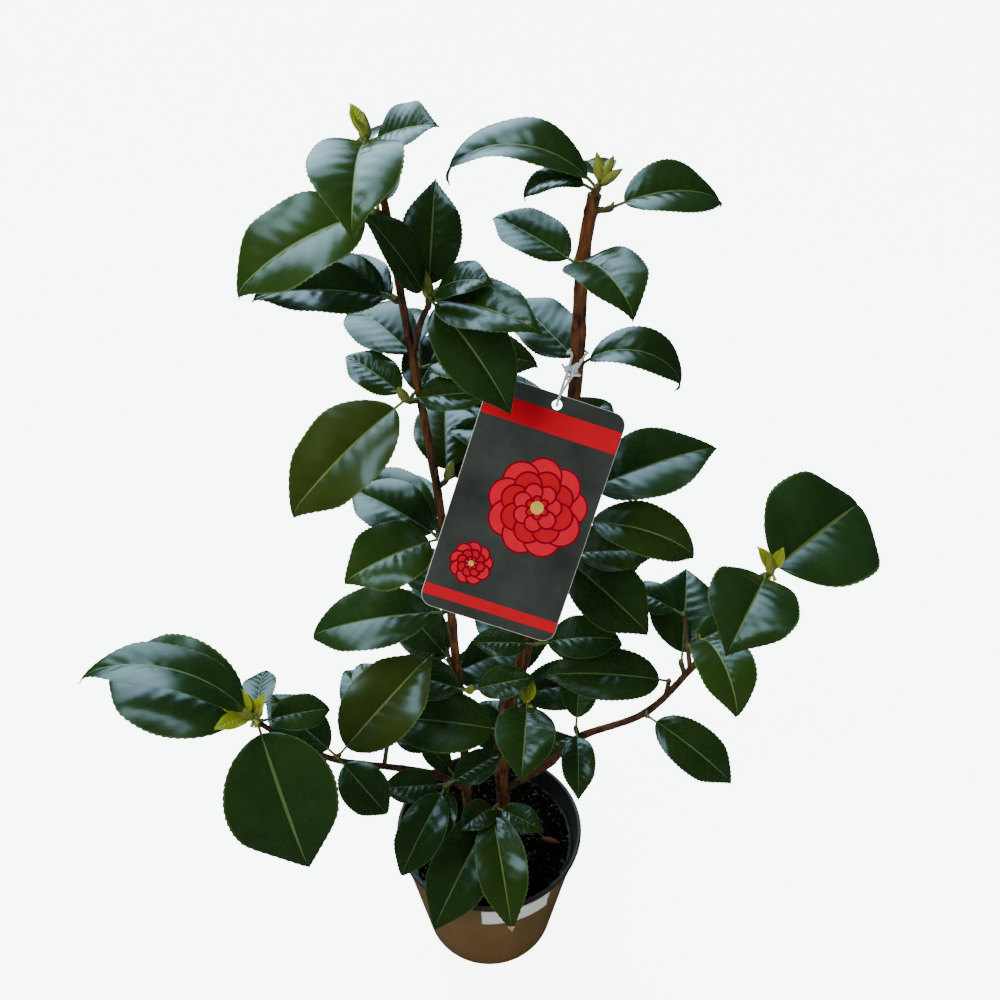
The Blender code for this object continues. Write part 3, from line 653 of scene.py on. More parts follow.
def nudges() -> Iterator[Pair]:
    """Small changes of bearing and rise, the smallest first."""
    yield 0, 0
    for reach in NUDGES:
        for turn, lift in ((0, 1), (1, 0), (-1, 0), (0, -1), (1, 1), (-1, 1), (1, -1), (-1, -1)):
            yield turn * reach, lift * reach


# ---- node trees

class Graph:
    """A short way to fill a node tree."""

    def __init__(self, tree: NodeTree) -> None:
        """Works on the given tree."""
        self.tree = tree

    def add(self, kind: str, inputs: dict | None = None, **settings: object) -> bpy.types.Node:
        """Adds a node.

        Args:
            kind: the node's type.
            inputs: a value or another node's output for each input, by index or name.
            settings: the node's own settings.

        Returns:
            The node.
        """
        node = self.tree.nodes.new(kind)
        for name, value in settings.items():
            setattr(node, name, value)
        for key, value in (inputs or {}).items():
            if isinstance(value, Socket):
                self.tree.links.new(value, node.inputs[key])
            else:
                node.inputs[key].default_value = value
        return node

    def maths(self, operation: str, a: Socket | float, b: Socket | float = 0.0) -> Socket:
        """The result of a Math node on two values."""
        return self.add("ShaderNodeMath", {0: a, 1: b}, operation=operation).outputs[0]

    def vector(self, operation: str, a: Socket | Sequence[float], b: Socket | Sequence[float]) -> Socket:
        """The result of a Vector Math node on two vectors."""
        return self.add("ShaderNodeVectorMath", {0: a, 1: b}, operation=operation).outputs[0]

    def drawn_place(self, stretch: Socket) -> Socket:
        """The place on the piece, drawn out along its axes."""
        return self.vector("MULTIPLY", self.add("ShaderNodeTexCoord").outputs["Object"], stretch)

    def ended(self, made: Sequence[Socket], *values: Socket) -> NodeTree:
        """The tree, with what it makes led out of it."""
        for value, socket in zip(values, made):
            self.tree.links.new(value, socket)
        return self.tree

    def scaled(self, vector: Socket, factor: Socket) -> Socket:
        """A vector made longer or shorter by a factor."""
        return self.add("ShaderNodeVectorMath", {0: vector, 3: factor}, operation="SCALE").outputs[0]

    def cloud(self, place: Socket, scale: Socket | float, detail: float, roughness: float) -> Socket:
        """The value of a noise texture at a place."""
        return self.add("ShaderNodeTexNoise", {0: place, 2: scale, 3: detail, 4: roughness}).outputs[0]

    def mixed(self, share: Socket | float, a: Socket | Sequence[float],
              b: Socket | Sequence[float]) -> Socket:
        """The mix of two colours."""
        return self.add("ShaderNodeMix", {0: share, 6: a, 7: b}, data_type="RGBA").outputs[2]

    def spread(self, value: Socket, low: Socket | float, high: Socket | float, start: float = 0.0,
               end: float = 1.0) -> Socket:
        """A value stretched from one range to another and held at its ends."""
        return self.add("ShaderNodeMapRange", {0: value, 1: low, 2: high, 3: start, 4: end}).outputs[0]


def new_group(name: str, kind: str, inputs: Sequence[tuple], outputs: Sequence[tuple]) -> tuple:
    """An empty node group with its sockets.

    Args:
        name: the group's name.
        kind: ShaderNodeTree or GeometryNodeTree.
        inputs: name, kind of socket and default of each input.
        outputs: name and kind of socket of each output.

    Returns:
        The graph, the sockets that it is given and the sockets that it makes.
    """
    tree = bpy.data.node_groups.new(name, kind)
    for title, socket_kind, default in inputs:
        socket = tree.interface.new_socket(title, in_out="INPUT", socket_type="NodeSocket" + socket_kind)
        if default is not None:
            socket.default_value = default
    for title, socket_kind in outputs:
        tree.interface.new_socket(title, in_out="OUTPUT", socket_type="NodeSocket" + socket_kind)
    graph = Graph(tree)
    return graph, graph.add("NodeGroupInput").outputs, graph.add("NodeGroupOutput").inputs


def finish_tree(graph: Graph, made: Sequence[Socket], shape: Socket, finish: Socket) -> NodeTree:
    """Ends a geometry tree with a plain mesh that has its finish."""
    plain = graph.add("GeometryNodeRealizeInstances", {0: shape})
    dressed = graph.add("GeometryNodeSetMaterial", {0: plain.outputs[0], 2: finish})
    return graph.ended(made, dressed.outputs[0])


def run_tree(tree: NodeTree, mesh: Mesh, name: str,
             inputs: dict[str, object]) -> Mesh:
    """The plain mesh that a geometry tree makes of a mesh.

    Args:
        tree: the geometry tree.
        mesh: what it starts from.
        name: the result's name.
        inputs: a value for each named input.

    Returns:
        The mesh, with no instances left in it.
    """
    carrier = linked(name, mesh)
    shaper = carrier.modifiers.new("shape", "NODES")
    shaper.node_group = tree
    for socket in tree.interface.items_tree:
        if socket.item_type == "SOCKET" and socket.in_out == "INPUT" and socket.name in inputs:
            shaper[socket.identifier] = inputs[socket.name]
    carrier.update_tag()
    made = evaluated_mesh(carrier)
    made.name = name
    bpy.data.objects.remove(carrier, do_unlink=True)
    return made


def stem_tree() -> NodeTree:
    """The tree that turns a line with a girth at each point into a round limb with bark relief."""
    graph, given, made = new_group(
        "limb_along_line", "GeometryNodeTree",
        (("Line", "Geometry", None), ("Sides", "Int", 12), ("Relief", "Float", 0.0002),
         ("Grain", "Float", 300.0), ("Bark", "Material", None)),
        (("Limb", "Geometry"),))
    curve = graph.add("GeometryNodeMeshToCurve", {0: given["Line"]})
    girth = graph.add("GeometryNodeInputNamedAttribute", {0: "girth"}, data_type="FLOAT")
    ring = graph.add("GeometryNodeCurvePrimitiveCircle", {0: given["Sides"], 4: 1.0})
    skin = graph.add("GeometryNodeCurveToMesh",
                     {0: curve.outputs[0], 1: ring.outputs[0], 2: girth.outputs[0], 3: True})
    place = graph.add("GeometryNodeInputPosition")
    drawn = graph.vector("MULTIPLY", place.outputs[0], (1.0, 1.0, 0.3))
    bark = graph.cloud(drawn, given["Grain"], 3.0, 0.6)
    rise = graph.maths("MULTIPLY", graph.maths("SUBTRACT", bark, 0.5), given["Relief"])
    push = graph.scaled(graph.add("GeometryNodeInputNormal").outputs[0], rise)
    rough = graph.add("GeometryNodeSetPosition", {0: skin.outputs[0], 3: push})
    return finish_tree(graph, made, rough.outputs[0], given["Bark"])


def scatter_tree() -> NodeTree:
    """The tree that strews copies of a small thing over a surface, each turned and sized by chance."""
    graph, given, made = new_group(
        "strewn_over_surface", "GeometryNodeTree",
        (("Ground", "Geometry", None), ("Thing", "Object", None), ("Density", "Float", 1000.0),
         ("Smallest", "Float", 0.5), ("Largest", "Float", 1.2), ("Seed", "Int", 1), ("Tilt", "Float", 0.5),
         ("Finish", "Material", None)),
        (("Strewn", "Geometry"),))
    points = graph.add("GeometryNodeDistributePointsOnFaces",
                       {0: given["Ground"], 4: given["Density"], 6: given["Seed"]})
    thing = graph.add("GeometryNodeObjectInfo", {0: given["Thing"]})
    size = graph.add("FunctionNodeRandomValue",
                     {2: given["Smallest"], 3: given["Largest"], 8: given["Seed"]})
    lean_low = graph.maths("MULTIPLY", given["Tilt"], -1.0)
    leans = [graph.add("FunctionNodeRandomValue", {2: lean_low, 3: given["Tilt"], 8: seed}).outputs[1]
             for seed in (3, 4)]
    spin = graph.add("FunctionNodeRandomValue", {2: 0.0, 3: tau, 8: 5}).outputs[1]
    turn = graph.add("ShaderNodeCombineXYZ", {0: leans[0], 1: leans[1], 2: spin})
    copies = graph.add("GeometryNodeInstanceOnPoints",
                       {0: points.outputs[0], 2: thing.outputs["Geometry"], 5: turn.outputs[0],
                        6: size.outputs[1]})
    return finish_tree(graph, made, copies.outputs[0], given["Finish"])


def twine_tree() -> NodeTree:
    """The tree that lays three twisted strands round a closed line."""
    graph, given, made = new_group(
        "twisted_along_line", "GeometryNodeTree",
        (("Line", "Geometry", None), ("Radius", "Float", 0.0007), ("Points", "Int", 400),
         ("Turns", "Float", 60.0), ("Finish", "Material", None)),
        (("Twine", "Geometry"),))
    curve = graph.add("GeometryNodeMeshToCurve", {0: given["Line"]})
    even = graph.add("GeometryNodeResampleCurve", {0: curve.outputs[0], 2: given["Points"]})
    along = graph.add("GeometryNodeSplineParameter")
    twist = graph.maths("MULTIPLY", graph.maths("MULTIPLY", along.outputs[0], given["Turns"]), tau)
    tilted = graph.add("GeometryNodeSetCurveTilt", {0: even.outputs[0], 2: twist})
    ring = graph.add("GeometryNodeCurvePrimitiveCircle", {0: 18, 4: 1.0})
    round_share = graph.add("GeometryNodeSplineParameter")
    lobes = graph.maths("COSINE", graph.maths("MULTIPLY", round_share.outputs[0], 3 * tau))
    swell = graph.maths("ADD", graph.maths("MULTIPLY", graph.maths("ABSOLUTE", lobes), 0.3), 0.7)
    place = graph.add("GeometryNodeInputPosition")
    profile = graph.add("GeometryNodeSetPosition",
                        {0: ring.outputs[0], 2: graph.scaled(place.outputs[0], swell)})
    skin = graph.add("GeometryNodeCurveToMesh",
                     {0: tilted.outputs[0], 1: profile.outputs[0], 2: given["Radius"], 3: True})
    return finish_tree(graph, made, skin.outputs[0], given["Finish"])


def bud_tree() -> NodeTree:
    """The tree that overlaps scales in a spiral up a bud of unit length."""
    graph, given, made = new_group(
        "scales_in_spiral", "GeometryNodeTree",
        (("Scale", "Geometry", None), ("Count", "Int", 9), ("Lift", "Float", 0.055),
         ("Smallest", "Float", 0.6), ("Finish", "Material", None)),
        (("Bud", "Geometry"),))
    step = graph.add("ShaderNodeCombineXYZ", {2: given["Lift"]})
    line = graph.add("GeometryNodeMeshLine", {0: given["Count"], 3: step.outputs[0]})
    number = graph.add("GeometryNodeInputIndex").outputs[0]
    turn = graph.add("ShaderNodeCombineXYZ", {2: graph.maths("MULTIPLY", number, radians(SPIRAL_TURN))})
    last = graph.maths("SUBTRACT", given["Count"], 1.0)
    share = graph.maths("DIVIDE", number, last)
    drop = graph.maths("MULTIPLY", share, graph.maths("SUBTRACT", 1.0, given["Smallest"]))
    size = graph.maths("SUBTRACT", 1.0, drop)
    copies = graph.add("GeometryNodeInstanceOnPoints",
                       {0: line.outputs[0], 2: given["Scale"], 5: turn.outputs[0], 6: size})
    return finish_tree(graph, made, copies.outputs[0], given["Finish"])


# ---- finishes

def speckle_group() -> NodeTree:
    """Mottling: a colour that drifts between two others, and the mask it follows."""
    graph, given, made = new_group(
        "mottling", "ShaderNodeTree",
        (("Scale", "Float", 60.0), ("Stretch", "Vector", (1.0, 1.0, 1.0)), ("Contrast", "Float", 0.5),
         ("Dark", "Color", (0.1, 0.1, 0.1, 1.0)), ("Light", "Color", (0.2, 0.2, 0.2, 1.0))),
        (("Colour", "Color"), ("Mask", "Float")))
    cloud = graph.cloud(graph.drawn_place(given["Stretch"]), given["Scale"], 5.0, 0.6)
    reach = graph.maths("MULTIPLY", given["Contrast"], 0.5)
    low, high = graph.maths("SUBTRACT", 0.5, reach), graph.maths("ADD", 0.5, reach)
    mask = graph.spread(cloud, low, high)
    return graph.ended(made, graph.mixed(mask, given["Dark"], given["Light"]), mask)


def relief_group() -> NodeTree:
    """Fine relief: a height from coarse and fine noise, drawn out along an axis."""
    graph, given, made = new_group(
        "fine_relief", "ShaderNodeTree",
        (("Scale", "Float", 600.0), ("Stretch", "Vector", (1.0, 1.0, 1.0)), ("Pits", "Float", 0.3)),
        (("Height", "Float"),))
    drawn = graph.drawn_place(given["Stretch"])
    grain = graph.cloud(drawn, given["Scale"], 4.0, 0.6)
    cells = graph.add("ShaderNodeTexVoronoi", {0: drawn, 2: given["Scale"]}).outputs[0]
    pits = graph.maths("MULTIPLY", cells, given["Pits"])
    return graph.ended(made, graph.maths("ADD", grain, pits))


def dust_group() -> NodeTree:
    """Dust that settles on what faces up, as a mask broken by noise."""
    graph, given, made = new_group(
        "settled_dust", "ShaderNodeTree",
        (("Amount", "Float", 0.3), ("Scale", "Float", 90.0)),
        (("Mask", "Float"),))
    faces = graph.add("ShaderNodeNewGeometry").outputs["Normal"]
    up = graph.add("ShaderNodeSeparateXYZ", {0: faces}).outputs[2]
    top = graph.spread(up, 0.1, 0.95)
    place = graph.add("ShaderNodeTexCoord").outputs["Object"]
    patches = graph.spread(graph.cloud(place, given["Scale"], 6.0, 0.65), 0.38, 0.7)
    return graph.ended(made, graph.maths("MULTIPLY", graph.maths("MULTIPLY", top, patches), given["Amount"]))


@dataclass(frozen=True)
class Finish:
    """A finish: two colours that mottle into each other, gloss, fine relief and dust."""

    name: str
    dark: Triple
    light: Triple
    mottle: float
    contrast: float
    gloss_range: Pair
    grain: float
    relief: float
    specular: float = 0.5
    stretch: Triple = (1.0, 1.0, 1.0)
    pits: float = 0.3
    relief_depth: float = 0.0003
    dust: float = 0.0
    dust_colour: Triple = (0.30, 0.25, 0.20)
    dust_dulling: float = 0.4

    def material(self) -> bpy.types.Material:
        """The finish as a material, made once."""
        found = bpy.data.materials.get(self.name)
        if found:
            return found
        material = bpy.data.materials.new(self.name)
        material.use_nodes = True
        graph = Graph(material.node_tree)
        shader = material.node_tree.nodes["Principled BSDF"]
        mottled = self.effect(graph, "mottling", {"Scale": self.mottle, "Stretch": self.stretch,
                                                  "Contrast": self.contrast, "Dark": (*self.dark, 1.0),
                                                  "Light": (*self.light, 1.0)})
        colour = mottled.outputs["Colour"]
        gloss = graph.spread(mottled.outputs["Mask"], 0.0, 1.0, *self.gloss_range)
        if self.dust > 0:
            dust = self.effect(graph, "settled_dust", {"Amount": self.dust}).outputs["Mask"]
            colour = graph.mixed(dust, colour, (*self.dust_colour, 1.0))
            gloss = graph.maths("ADD", gloss, graph.maths("MULTIPLY", dust, self.dust_dulling))
        height = self.effect(graph, "fine_relief", {"Scale": self.grain, "Stretch": self.stretch,
                                                    "Pits": self.pits})
        bump = graph.add("ShaderNodeBump", {"Strength": self.relief, "Distance": self.relief_depth,
                                            "Height": height.outputs[0]})
        links = material.node_tree.links
        links.new(colour, shader.inputs["Base Color"])
        links.new(gloss, shader.inputs["Roughness"])
        links.new(bump.outputs[0], shader.inputs["Normal"])
        shader.inputs["Specular IOR Level"].default_value = self.specular
        return material

    @staticmethod
    def effect(graph: Graph, group: str, inputs: dict[str, object]) -> bpy.types.Node:
        """A shared effect placed in a material with its own values."""
        node = graph.add("ShaderNodeGroup", node_tree=bpy.data.node_groups[group])
        for name, value in inputs.items():
            node.inputs[name].default_value = value
        return node


# name, dark and light colour, scale and contrast of the mottling, gloss range, grain and relief
POT_PLASTIC = Finish("pot_plastic", (0.118, 0.058, 0.017), (0.190, 0.100, 0.033), 25.0, 0.6, (0.44, 0.56),
                     1500.0, 0.12, 0.2)
LIP_PLASTIC = Finish("lip_plastic", (0.017, 0.0145, 0.011), (0.031, 0.027, 0.021), 40.0, 0.6, (0.42, 0.54),
                     1500.0, 0.12, 0.25, dust=0.08)
STICKER = Finish("sticker_paper", (0.62, 0.60, 0.54), (0.72, 0.70, 0.64), 120.0, 0.5, (0.5, 0.6),
                 2500.0, 0.06)
SOIL = Finish("compost", (0.0002, 0.0002, 0.0001), (0.0014, 0.0010, 0.0006), 260.0, 0.4, (0.8, 0.95),
              900.0, 0.8, 0.0, relief_depth=0.0012)
CHIP = Finish("bark_chips", (0.040, 0.024, 0.013), (0.150, 0.105, 0.066), 160.0, 0.5, (0.65, 0.85),
              900.0, 0.5, 0.2, (1.0, 1.0, 3.0))
CRUMB = Finish("soil_crumbs", (0.0008, 0.0006, 0.0004), (0.0095, 0.0066, 0.0042), 400.0, 0.4, (0.8, 0.95),
               1200.0, 0.8, 0.0, relief_depth=0.0008)
ROOT = Finish("pale_roots", (0.075, 0.050, 0.030), (0.240, 0.170, 0.115), 160.0, 0.5, (0.65, 0.85),
              900.0, 0.4, 0.2, (1.0, 1.0, 3.0))
GRIT = Finish("pale_grit", (0.34, 0.31, 0.26), (0.52, 0.49, 0.43), 900.0, 0.5, (0.6, 0.8), 2000.0, 0.4)
RED_CHIP = Finish("reddish_chip", (0.070, 0.012, 0.006), (0.130, 0.028, 0.012), 200.0, 0.5, (0.6, 0.8),
                  900.0, 0.5, 0.2)
BARK = Finish("stem_bark", (0.022, 0.005, 0.0015), (0.170, 0.058, 0.015), 300.0, 0.30, (0.6, 0.8),
              520.0, 0.9, 0.25, (1.0, 1.0, 0.22), 0.8, 0.0011)
BOUGH_BARK = Finish("bough_bark", (0.022, 0.007, 0.003), (0.105, 0.036, 0.013), 260.0, 0.35, (0.5, 0.7),
                    800.0, 0.6, 0.3, (1.0, 1.0, 0.4), relief_depth=0.0005)
TWIG_BARK = Finish("twig_bark", (0.040, 0.026, 0.008), (0.085, 0.060, 0.016), 260.0, 0.5, (0.45, 0.6),
                   1200.0, 0.3)
CUT_WOOD = Finish("cut_wood", (0.36, 0.24, 0.13), (0.52, 0.38, 0.22), 500.0, 0.5, (0.6, 0.75), 1500.0, 0.3)
BUD_GREEN = Finish("bud_scales", (0.105, 0.110, 0.010), (0.230, 0.240, 0.030), 220.0, 0.5, (0.35, 0.5),
                   1200.0, 0.15)
CARD_INK = Finish("card_ground", (0.022, 0.024, 0.022), (0.052, 0.056, 0.052), 34.0, 0.45, (0.34, 0.46),
                  1800.0, 0.03, 0.3)
CARD_RED = Finish("card_red", (0.500, 0.0003, 0.0100), (0.560, 0.0005, 0.0130), 40.0, 0.5, (0.40, 0.50),
                  1800.0, 0.03, 0.2)
CARD_PETAL = Finish("card_petal", (0.620, 0.0004, 0.0170), (0.720, 0.0008, 0.0250), 130.0, 0.5, (0.40, 0.50),
                    1800.0, 0.03, 0.2)
CARD_SHADE = Finish("card_shade", (0.150, 0.0002, 0.0070), (0.190, 0.0004, 0.0100), 130.0, 0.5, (0.40, 0.50),
                    1800.0, 0.03, 0.2)
CARD_GOLD = Finish("card_gold", (0.55, 0.36, 0.05), (0.70, 0.50, 0.10), 200.0, 0.5, (0.3, 0.4), 1800.0, 0.05)
CARD_BACK = Finish("card_board", (0.60, 0.59, 0.56), (0.68, 0.67, 0.64), 60.0, 0.5, (0.5, 0.65), 2500.0, 0.08)
COTTON = Finish("cotton_string", (0.70, 0.69, 0.65), (0.84, 0.83, 0.80), 900.0, 0.5, (0.75, 0.9),
                4000.0, 0.3, 0.2)
FLOOR_PAPER = Finish("floor_paper", (0.84, 0.84, 0.85), (0.86, 0.86, 0.87), 2.0, 0.5, (0.9, 0.95), 50.0, 0.0)


def mixed_colours(a: Triple, b: Triple, share: float, more: float = 0.0) -> Triple:
    """A share of one colour and the rest of another, a little lighter by what is added."""
    return tuple((1 - share) * x + share * y + more for x, y in zip(a, b))


def leaf_finishes(tint: Tint) -> tuple[Finish, ...]:
    """The upper side, the underside, the rib and stalk, and the margin of a tint's leaves.

    Args:
        tint: the leaf green.

    Returns:
        Its four finishes.
    """
    shade, light, vein = tint.value
    name = f"leaf_{tint.name.lower()}"
    under = mixed_colours(light, vein, 0.5, 0.004)
    # the margin's paler green is partly the rim's own paler tone and partly a painted glint of light along
    # the leaf's edge
    edge = mixed_colours(light, vein, 0.45)
    dark_under, dark_vein = (tuple(0.8 * c for c in colour) for colour in (under, vein))
    return (Finish(name + "_upper", shade, light, 38.0, 0.7, (0.20, 0.27), 1100.0, 0.12, 0.6, pits=0.5,
                   relief_depth=0.0002),
            Finish(name + "_under", dark_under, under, 90.0, 0.6, (0.45, 0.58), 1400.0, 0.15),
            Finish(name + "_rib", dark_vein, vein, 200.0, 0.5, (0.40, 0.50), 1400.0, 0.1),
            Finish(name + "_margin", light, edge, 200.0, 0.5, (0.34, 0.44), 1400.0, 0.1))


# ---- camera, lights and floor

@dataclass(frozen=True)
class Lamp:
    """A square soft light: its place and side in metres, its power in watts and its colour."""

    name: str
    place: Triple
    size: float
    watts: float
    colour: Triple

    def hang(self, facing: Vector) -> None:
        """Hangs the light so that it faces a point.

        Args:
            facing: the point, in metres.
        """
        lamp = bpy.data.lights.new(self.name, "AREA")
        lamp.size = self.size
        lamp.energy = self.watts
        lamp.color = self.colour
        holder = linked(self.name, lamp)
        holder.location = self.place
        holder.rotation_euler = (Vector(self.place) - facing).to_track_quat("Z", "Y").to_euler()
        holder.visible_glossy = False


@dataclass(frozen=True)
class SkyPatch:
    """A bright part of the sky: the way to it, the cosines where it starts and is full, its colour."""

    way: Triple
    start: float
    full: float
    colour: Triple

    def share(self, graph: Graph, seen: Socket) -> Socket:
        """How much of the patch shows in a direction, from 0 to 1."""
        toward = graph.add("ShaderNodeVectorMath", {0: seen, 1: Vector(self.way).normalized()},
                           operation="DOT_PRODUCT").outputs[1]
        return graph.spread(toward, self.start, self.full)


@dataclass(frozen=True)
class Studio:
    """The camera a little above the plant, two soft lamps, a sky with two bright patches, a pale floor."""

    eye: Triple = (0.0083, -0.445, 0.710)
    pitch: float = 55.7
    lens: float = 33.48
    sensor: float = 36.0
    nearest: float = 0.01
    plant_middle: Triple = (0.0, 0.0, 0.32)
    lamps: tuple[Lamp, ...] = (Lamp("key", (-0.9, -0.7, 1.6), 0.8, 26.0, (1.0, 0.96, 0.88)),
                               Lamp("fill", (0.9, -1.1, 0.7), 1.2, 4.0, (1.0, 0.97, 0.92)))
    behind: SkyPatch = SkyPatch((-0.35, 0.62, 0.70), 0.80, 0.98, (3.9, 6.2, 7.8))
    above: SkyPatch = SkyPatch((-0.30, -0.14, 0.94), 0.950, 0.990, (3.2, 5.1, 6.1))
    dim: Triple = (0.24, 0.26, 0.24)
    dim_in_gloss: Triple = (0.030, 0.040, 0.036)
    backdrop: Triple = (9.0, 9.0, 9.0)
    floor_size: float = 60.0
    glow: float = 7.0

    def build(self) -> None:
        """Makes the camera, lights, sky and floor."""
        camera = bpy.data.cameras.new("camera")
        camera.lens = self.lens
        camera.sensor_width = self.sensor
        camera.clip_start = self.nearest
        holder = linked("camera", camera)
        holder.location = self.eye
        holder.rotation_euler = (radians(self.pitch), 0.0, 0.0)
        bpy.context.scene.camera = holder
        for lamp in self.lamps:
            lamp.hang(Vector(self.plant_middle))
        self.sky()
        self.floor()

    def sky(self) -> None:
        """A dim sky, bluish and bright high up behind the plant, and white as a backdrop.

        A second patch overhead shows only in what shines.
        """
        world = bpy.data.worlds.new("sky")
        bpy.context.scene.world = world
        world.use_nodes = True
        graph = Graph(world.node_tree)
        back = world.node_tree.nodes["Background"]
        seen = graph.add("ShaderNodeTexCoord").outputs["Generated"]
        paths = graph.add("ShaderNodeLightPath").outputs
        above = graph.maths("MULTIPLY", self.above.share(graph, seen), paths["Is Glossy Ray"])
        colour = graph.mixed(paths["Is Glossy Ray"], (*self.dim, 1.0), (*self.dim_in_gloss, 1.0))
        colour = graph.mixed(self.behind.share(graph, seen), colour, (*self.behind.colour, 1.0))
        colour = graph.mixed(above, colour, (*self.above.colour, 1.0))
        colour = graph.mixed(paths["Is Camera Ray"], colour, (*self.backdrop, 1.0))
        world.node_tree.links.new(colour, back.inputs[0])
        back.inputs[1].default_value = 1.0

    def floor(self) -> None:
        """A wide pale floor, lit up where it is seen, so that it stays white round the plant."""
        half = self.floor_size / 2
        mesh = bpy.data.meshes.new("floor")
        corners = [(-half, -half, 0), (half, -half, 0), (half, half, 0), (-half, half, 0)]
        mesh.from_pydata(corners, [], [(0, 1, 2, 3)])
        floor = linked("floor", mesh)
        floor.visible_glossy = False
        paper = FLOOR_PAPER.material()
        graph = Graph(paper.node_tree)
        shader = paper.node_tree.nodes["Principled BSDF"]
        seen = graph.add("ShaderNodeLightPath").outputs["Is Camera Ray"]
        glow = graph.mixed(seen, (0.0, 0.0, 0.0, 1.0), (1.0, 1.0, 1.0, 1.0))
        paper.node_tree.links.new(glow, shader.inputs["Emission Color"])
        shader.inputs["Emission Strength"].default_value = self.glow
        mesh.materials.append(paper)


# ---- pot and compost

